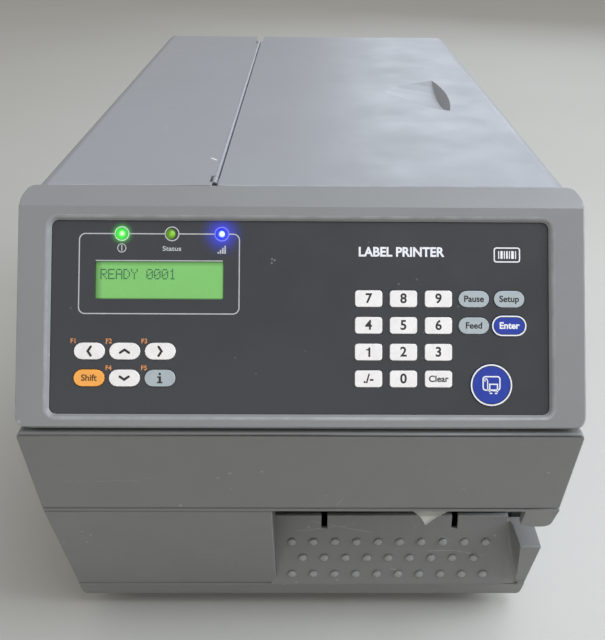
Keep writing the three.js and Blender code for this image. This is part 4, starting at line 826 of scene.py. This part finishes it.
def chevrons():
    for key, degrees in (("key_right", 0), ("key_up", 90), ("key_left", 180), ("key_down", 270)):
        turn = Matrix.Rotation(math.radians(degrees), 2)
        half = CHEVRON_REACH / 2
        corners = [(-half, CHEVRON_SPAN), (half, 0), (-half, -CHEVRON_SPAN)]
        points = [tuple(turn @ Vector(corner)) for corner in corners]
        right, up, out = key_place(key)
        inlay(key + "_arrow", [stroke(points, CHEVRON_LINE)], (right, up, out + INK_PROUD),
              BLACK_INK_AND_SHADOW, key)


def outline(points, width):
    """A closed line of that width about a loop, as an outer and an inner loop."""
    loops = []
    for reach in (width / 2, -width / 2):
        loop = []
        for i, here in enumerate(points):
            before, after = Vector(points[i - 1]), Vector(points[(i + 1) % len(points)])
            way = (after - before).normalized()
            loop.append((here[0] + way.y * reach, here[1] - way.x * reach))
        loops.append(loop)
    return loops


def on_housing(name, loops, right, up, finish, out=INK_PROUD):
    return inlay(name, loops, (right, up, out), finish, "housing")


LAMP_RING = (3.35, 0.55)  # radius and line width, in millimetres
FRAME_LEFT, FRAME_RIGHT = -107.9, -30.0
FRAME_BOTTOM = 1.5
FRAME_CORNER = 3.0
FRAME_LINE = 0.55


def lamp_frame():
    """The line that runs from lamp to lamp and round the display."""
    places = list(LAMPS.values())
    ring_edge = LAMP_RING[0]
    left = arc((FRAME_LEFT + FRAME_CORNER, LAMP_UP - FRAME_CORNER), FRAME_CORNER, 90, 180)
    low_left = arc((FRAME_LEFT + FRAME_CORNER, FRAME_BOTTOM + FRAME_CORNER), FRAME_CORNER, 180, 270)
    low_right = arc((FRAME_RIGHT - FRAME_CORNER, FRAME_BOTTOM + FRAME_CORNER), FRAME_CORNER, 270, 360)
    right = arc((FRAME_RIGHT - FRAME_CORNER, LAMP_UP - FRAME_CORNER), FRAME_CORNER, 0, 90)
    around = [(places[0] - ring_edge, LAMP_UP), *left, *low_left, *low_right, *right,
              (places[-1] + ring_edge, LAMP_UP)]
    lines = [stroke(around, FRAME_LINE)]
    for here, after in zip(places, places[1:]):
        lines.append(stroke([(here + ring_edge, LAMP_UP), (after - ring_edge, LAMP_UP)], FRAME_LINE))
    on_housing("display_frame_line", lines, 0, 0, SILVER_INK_AND_HIGHLIGHT)


def lamp_rings():
    for name, right in LAMPS.items():
        on_housing(name + "_lamp_ring", outline(circle(LAMP_RING[0]), LAMP_RING[1]), right, LAMP_UP,
                   LAMP_RING_INK[name], INK_PROUD * 1.5)


MARK_UP = 33.5
BAR_COUNT = 4
BAR_WIDTH = 0.75
BAR_PITCH = 1.1


def lamp_marks():
    """The marks under the lamps: power, the word Status, and signal bars."""
    power = outline(circle(2.0, steps=32), 0.45) + [stroke([(0, -1.1), (0, 1.1)], 0.55)]
    on_housing("power_mark", power, LAMPS["power"], MARK_UP, SILVER_INK_AND_HIGHLIGHT)
    where = (LAMPS["status"], MARK_UP - 0.3, INK_PROUD)
    lettering("status_word", "Status", 2.3, where, SILVER_INK_AND_HIGHLIGHT, "housing", 0.06, 9.1)
    bars = []
    for step in range(BAR_COUNT):
        left = -2.05 + step * BAR_PITCH
        right, top = left + BAR_WIDTH, -1.1 + step
        bars.append([(left, -2.0), (right, -2.0), (right, top), (left, top)])
    on_housing("signal_mark", bars, LAMPS["network"], MARK_UP - 0.6, SILVER_INK_AND_HIGHLIGHT)


def display_edge():
    """A painted highlight: a pale line along the top edge of the display's window."""
    line = [(DISPLAY_LEFT, 0), (DISPLAY_RIGHT, 0), (DISPLAY_RIGHT, 0.5), (DISPLAY_LEFT, 0.5)]
    on_housing("display_top_highlight_line", [line], 0, DISPLAY_TOP + 0.3, SILVER_INK_AND_HIGHLIGHT)


GLYPHS = {  # rows of a five by seven dot character, top first, one bit a dot
    "R": (30, 17, 17, 30, 20, 18, 17), "E": (31, 16, 16, 30, 16, 16, 31), "A": (14, 17, 17, 31, 17, 17, 17),
    "D": (28, 18, 17, 17, 17, 18, 28), "Y": (17, 17, 10, 4, 4, 4, 4), "0": (14, 17, 19, 21, 25, 17, 14),
    "1": (4, 12, 4, 4, 4, 4, 14),
}
GLYPH_COLUMNS = 5
DOT_PITCH = 0.66
ROW_PITCH = 0.7392
DOT_SIZE = 0.58
CHARACTER_PITCH = 3.72


def display_text():
    """The first line of the display, in square dots on its glass."""
    dots = []
    for place, letter in enumerate("READY 0001"):
        for row, bits in enumerate(GLYPHS.get(letter, ())):
            for column in range(GLYPH_COLUMNS):
                if bits >> (GLYPH_COLUMNS - 1 - column) & 1:
                    x = place * CHARACTER_PITCH + column * DOT_PITCH
                    y = -row * ROW_PITCH
                    dots.append([(x, y), (x + DOT_SIZE, y), (x + DOT_SIZE, y + DOT_SIZE), (x, y + DOT_SIZE)])
    glass = face_box("display_module", FACE_ORIGIN)[1].z / MM
    where = (-97.6, 22.7, glass + INK_PROUD)
    inlay("display_text", dots, where, DISPLAY_INK, "housing")


def function_names():
    """The small orange function names at the upper left of five keys."""
    for number, key in enumerate(("key_left", "key_up", "key_right", "key_down", "key_info"), 1):
        right, up, _ = key_place(key)
        where = (right - 7.8, up + 4.8, INK_PROUD)
        lettering(f"function_{number}_name", f"F{number}", 2.3, where, ORANGE_INK, "housing",
                  0.05)


def info_legend():
    right, up, out = key_place("key_info")
    dot = circle(0.62, (-0.05, 2.05), 20)
    stem = [(-1.25, 0.95), (-1.25, 0.25), (-0.55, 0.25), (-0.55, -1.75), (-1.35, -1.75), (-1.35, -2.45),
            (1.35, -2.45), (1.35, -1.75), (0.6, -1.75), (0.6, 0.95)]
    inlay("key_info_legend", [dot, stem], (right, up, out + INK_PROUD), BLACK_INK_AND_SHADOW, "key_info")


def one_legend():
    right, up, out = key_place("key_1")
    figure = [(-1.25, 1.35), (-0.2, 1.5), (0.1, 2.3), (0.85, 2.3), (0.85, -2.3), (-0.1, -2.3), (-0.1, 0.85),
              (-1.25, 0.85)]
    inlay("key_1_legend", [figure], (right, up, out + INK_PROUD), BLACK_INK_AND_SHADOW, "key_1")


def pill(width, height, radius):
    return rounded_rect(-width / 2, -height / 2, width / 2, height / 2, radius)


def button_rings():
    """White rims with a thin dark line inside them, printed on the two blue buttons."""
    for key, rim, gap in (
        ("key_enter", outline(pill(16.2, 9.3, 4.6), 0.65), outline(pill(15.2, 8.3, 4.1), 0.35)),
        ("key_print", outline(circle(9.75, steps=72), 0.7), outline(circle(9.2, steps=72), 0.4)),
    ):
        right, up, out = key_place(key)
        inlay(key + "_rim", rim, (right, up, out + INK_PROUD), WHITE_INK, key)
        inlay(key + "_rim_gap", gap, (right, up, out + INK_PROUD), BLACK_INK_AND_SHADOW, key)


def print_pictogram():
    """A label printer seen from the front, drawn in lines on the print button."""
    line = 0.62
    body = outline(rounded_rect(-4.1, -2.4, 4.1, 4.1, 1.2), line)
    door = [stroke([(-1.9, -2.3), (-1.9, 2.2), (-2.6, 3.2)], line * 0.8)]
    tab = [stroke([(-3.2, 3.1), (-3.2, 1.8)], line * 0.7)]
    label = [stroke([(-0.9, -3.2), (-0.9, 0.4), (2.9, 0.4), (2.9, -3.2)], line)]
    torn = [stroke([(-0.6, -4.0), (0.1, -4.0)], line), stroke([(1.9, -4.0), (2.6, -4.0)], line)]
    right, up, out = key_place("key_print")
    inlay("print_pictogram", body + door + tab + label + torn, (right, up, out + INK_PROUD), WHITE_INK,
          "key_print")


def headings():
    """A plain heading and a label symbol in the console's upper right corner."""
    where = (49.0, 32.0, INK_PROUD)
    lettering("heading", "LABEL PRINTER", 4.6, where, WHITE_INK, "housing", 0.2, 42.0)
    symbol = outline(rounded_rect(-6.2, -3.4, 6.2, 3.4, 1.0), 0.6)
    left = -4.3
    for width in (0.5, 1.1, 0.5, 0.8, 0.5, 1.3, 0.5):
        symbol.append([(left, -1.9), (left + width, -1.9), (left + width, 1.9), (left, 1.9)])
        left += width + 0.6
    on_housing("label_symbol", symbol, 101.0, 31.0, WHITE_INK)


# widths of the painted shadow band on the film's sides and top, in millimetres
SHADOW_SIDE = 0.9
SHADOW_TOP = 1.7


def overlay_border():
    """A painted shadow: a black band on the film's edge, widest at the top, where the frame's recess wall
    shades the film.
    """
    half_width = (overlay_high.x - overlay_low.x) / 2 / MM
    half_height = (overlay_high.y - overlay_low.y) / 2 / MM
    outer = rounded_rect(-half_width, -half_height, half_width, half_height, 3.5)
    inner = rounded_rect(-half_width + SHADOW_SIDE, -half_height + 0.5, half_width - SHADOW_SIDE,
                         half_height - SHADOW_TOP, 3.0)
    on_housing("overlay_border", [outer, inner], 0, 0, BLACK_INK_AND_SHADOW, INK_PROUD / 2)


key_legends()
chevrons()
info_legend()
one_legend()
function_names()
button_rings()
print_pictogram()
lamp_frame()
lamp_rings()
lamp_marks()
display_edge()
display_text()
headings()
overlay_border()


# ---------------------------------------------------------------- torn label

# the label's side view: Y and Z in millimetres from its rear edge
LABEL_PATH = ((0.0, 0.0), (-40.0, 0.05), (-49.0, -1.05), (-54.6, -4.65), (-57.0, -8.85))
# distance along that path, with the X of the paper's left and right edge there
TONGUE = ((0, 4.0, 108.0), (41.5, 4.0, 108.0), (43.0, 22.0, 102.0), (45.5, 50.0, 95.0), (50.0, 59.5, 87.5),
          (52.6, 63.6, 83.9), (53.9, 65.4, 81.6), (56.0, 67.9, 77.4), (58.3, 69.4, 73.8), (60.6, 70.7, 70.9))
TORN_ROWS = 70
TORN_COLUMNS = 28
ROW_CROWDING = 1.7  # rows lie closer together towards the torn point
FRAY = 0.22
CURL = 0.55
CURL_START, CURL_RUN = 48, 6
PAPER_THICK = 0.13


def along_path(path, distance):
    """The point that lies a distance along a bent line."""
    for here, after in zip(path, path[1:]):
        step = math.dist(here, after)
        if distance <= step or after == path[-1]:
            share = distance / step
            return tuple(a + (b - a) * share for a, b in zip(here, after))
        distance -= step


def tongue_edges(distance):
    """Left and right edge of the paper at a distance along it."""
    for (s0, left0, right0), (s1, left1, right1) in zip(TONGUE, TONGUE[1:]):
        if distance <= s1 or s1 == TONGUE[-1][0]:
            share = min(1.0, (distance - s0) / (s1 - s0))
            return left0 + (left1 - left0) * share, right0 + (right1 - right0) * share


def torn_label():
    """The label left in the exit: a thin sheet that hangs over the edge, torn to a point and curled."""
    low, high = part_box("label_remnant")
    rear = Vector((0, high[1] / MM, high[2] / MM))
    end = TONGUE[-1][0]
    shape = bmesh.new()
    rows = []
    for i in range(TORN_ROWS + 1):
        distance = end * (1 - (1 - i / TORN_ROWS) ** ROW_CROWDING)
        left, right = tongue_edges(distance)
        y, z = along_path(LABEL_PATH, distance)
        torn = distance > TONGUE[1][0]
        if torn and i < TORN_ROWS:
            left += RNG.uniform(-FRAY, FRAY)
            right += RNG.uniform(-FRAY, FRAY)
        curled = CURL * min(1.0, max(0.0, (distance - CURL_START) / CURL_RUN)) if torn else 0.0
        row = []
        for j in range(TORN_COLUMNS + 1):
            across = j / TORN_COLUMNS * 2 - 1
            x = (left + right) / 2 + (right - left) / 2 * across
            curl = curled * across ** 2
            place = Vector((x, rear.y + y - curl, rear.z + z + curl * 0.5)) * MM
            row.append(shape.verts.new(place))
        rows.append(row)
    for row, after in zip(rows, rows[1:]):
        for j in range(TORN_COLUMNS):
            shape.faces.new((row[j], row[j + 1], after[j + 1], after[j]))
    mesh = bpy.data.meshes.new("torn_label")
    shape.to_mesh(mesh)
    shape.free()
    for face in mesh.polygons:
        face.use_smooth = True
    piece = bpy.data.objects.new("torn_label", mesh)
    bpy.context.scene.collection.objects.link(piece)
    solid = piece.modifiers.new("thickness", "SOLIDIFY")
    solid.thickness = PAPER_THICK * MM
    solid.offset = -1
    mesh.materials.append(FINISHES["label_paper"].material)
    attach(piece, "housing")
    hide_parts("label_remnant")


torn_label()


# ---------------------------------------------------------------- stage

FLOOR_REACH = 30.0  # metres from the middle
LIGHTS = {  # name: (place, target, size, watts, colour), in metres
    "overhead": ((0.45, -0.5, 1.5), (0.06, -0.15, 0.25), (1.1, 0.7), 12, (0.84, 0.91, 1.0)),
    "window": ((1.9, -0.45, 1.2), (0, -0.15, 0.1), (1.2, 1.2), 32, (0.84, 0.91, 1.0)),
    "front_fill": ((-0.6, -2.2, 0.5), (0, 0, 0.1), (1.6, 0.8), 4, (1.0, 0.98, 0.94)),
    "back_fill": ((0.7, 1.9, 1.0), (0.05, 0, 0.25), (1.2, 0.5), 7, (0.78, 0.87, 1.0)),
}
WORLD_COLOUR = (1.0, 0.985, 0.95, 1.0)
WORLD_STRENGTH = 0.44


def stage():
    """A pale floor under the printer."""
    mesh = bpy.data.meshes.new("floor")
    shape = bmesh.new()
    bmesh.ops.create_grid(shape, x_segments=2, y_segments=2, size=FLOOR_REACH)
    shape.to_mesh(mesh)
    shape.free()
    floor = bpy.data.objects.new("floor", mesh)
    bpy.context.scene.collection.objects.link(floor)
    pale = Finish("floor", 0.8, specular=0.2)
    pale.colour(mottled(pale, linear(200, 198, 192), 0.015, 0.4))
    mesh.materials.append(pale.material)


def lights():
    for name, (place, target, size, watts, colour) in LIGHTS.items():
        data = bpy.data.lights.new(name, "AREA")
        data.shape = "RECTANGLE"
        data.size, data.size_y = size
        data.energy = watts
        data.color = colour
        lamp = bpy.data.objects.new(name, data)
        bpy.context.scene.collection.objects.link(lamp)
        lamp.location = place
        lamp.rotation_mode = "QUATERNION"
        lamp.rotation_quaternion = (Vector(target) - Vector(place)).to_track_quat("-Z", "Y")


def world():
    made = bpy.data.worlds.new("studio")
    made.use_nodes = True
    background = made.node_tree.nodes["Background"]
    background.inputs["Color"].default_value = WORLD_COLOUR
    background.inputs["Strength"].default_value = WORLD_STRENGTH
    bpy.context.scene.world = made


CAMERA_AT = (2.95, -550.6, 418.2)  # millimetres
CAMERA_PITCH = 26.75  # degrees
CAMERA_YAW = 0.73
CAMERA_ROLL = 0.6
LENS = 44.7
SHIFT = (-0.0233, -0.0612)


def camera():
    data = bpy.data.cameras.new("camera")
    data.lens = LENS
    data.shift_x, data.shift_y = SHIFT
    data.clip_start, data.clip_end = 0.01, 100
    eye = bpy.data.objects.new("camera", data)
    bpy.context.scene.collection.objects.link(eye)
    level = Matrix.Rotation(math.radians(90 - CAMERA_PITCH), 4, "X")
    yaw = Matrix.Rotation(math.radians(-CAMERA_YAW), 4, "Z")
    roll = Matrix.Rotation(math.radians(CAMERA_ROLL), 4, "Z")
    eye.matrix_world = Matrix.Translation([c * MM for c in CAMERA_AT]) @ yaw @ level @ roll
    bpy.context.scene.camera = eye


stage()
lights()
world()
camera()
bpy.context.scene.view_settings.view_transform = "Standard"
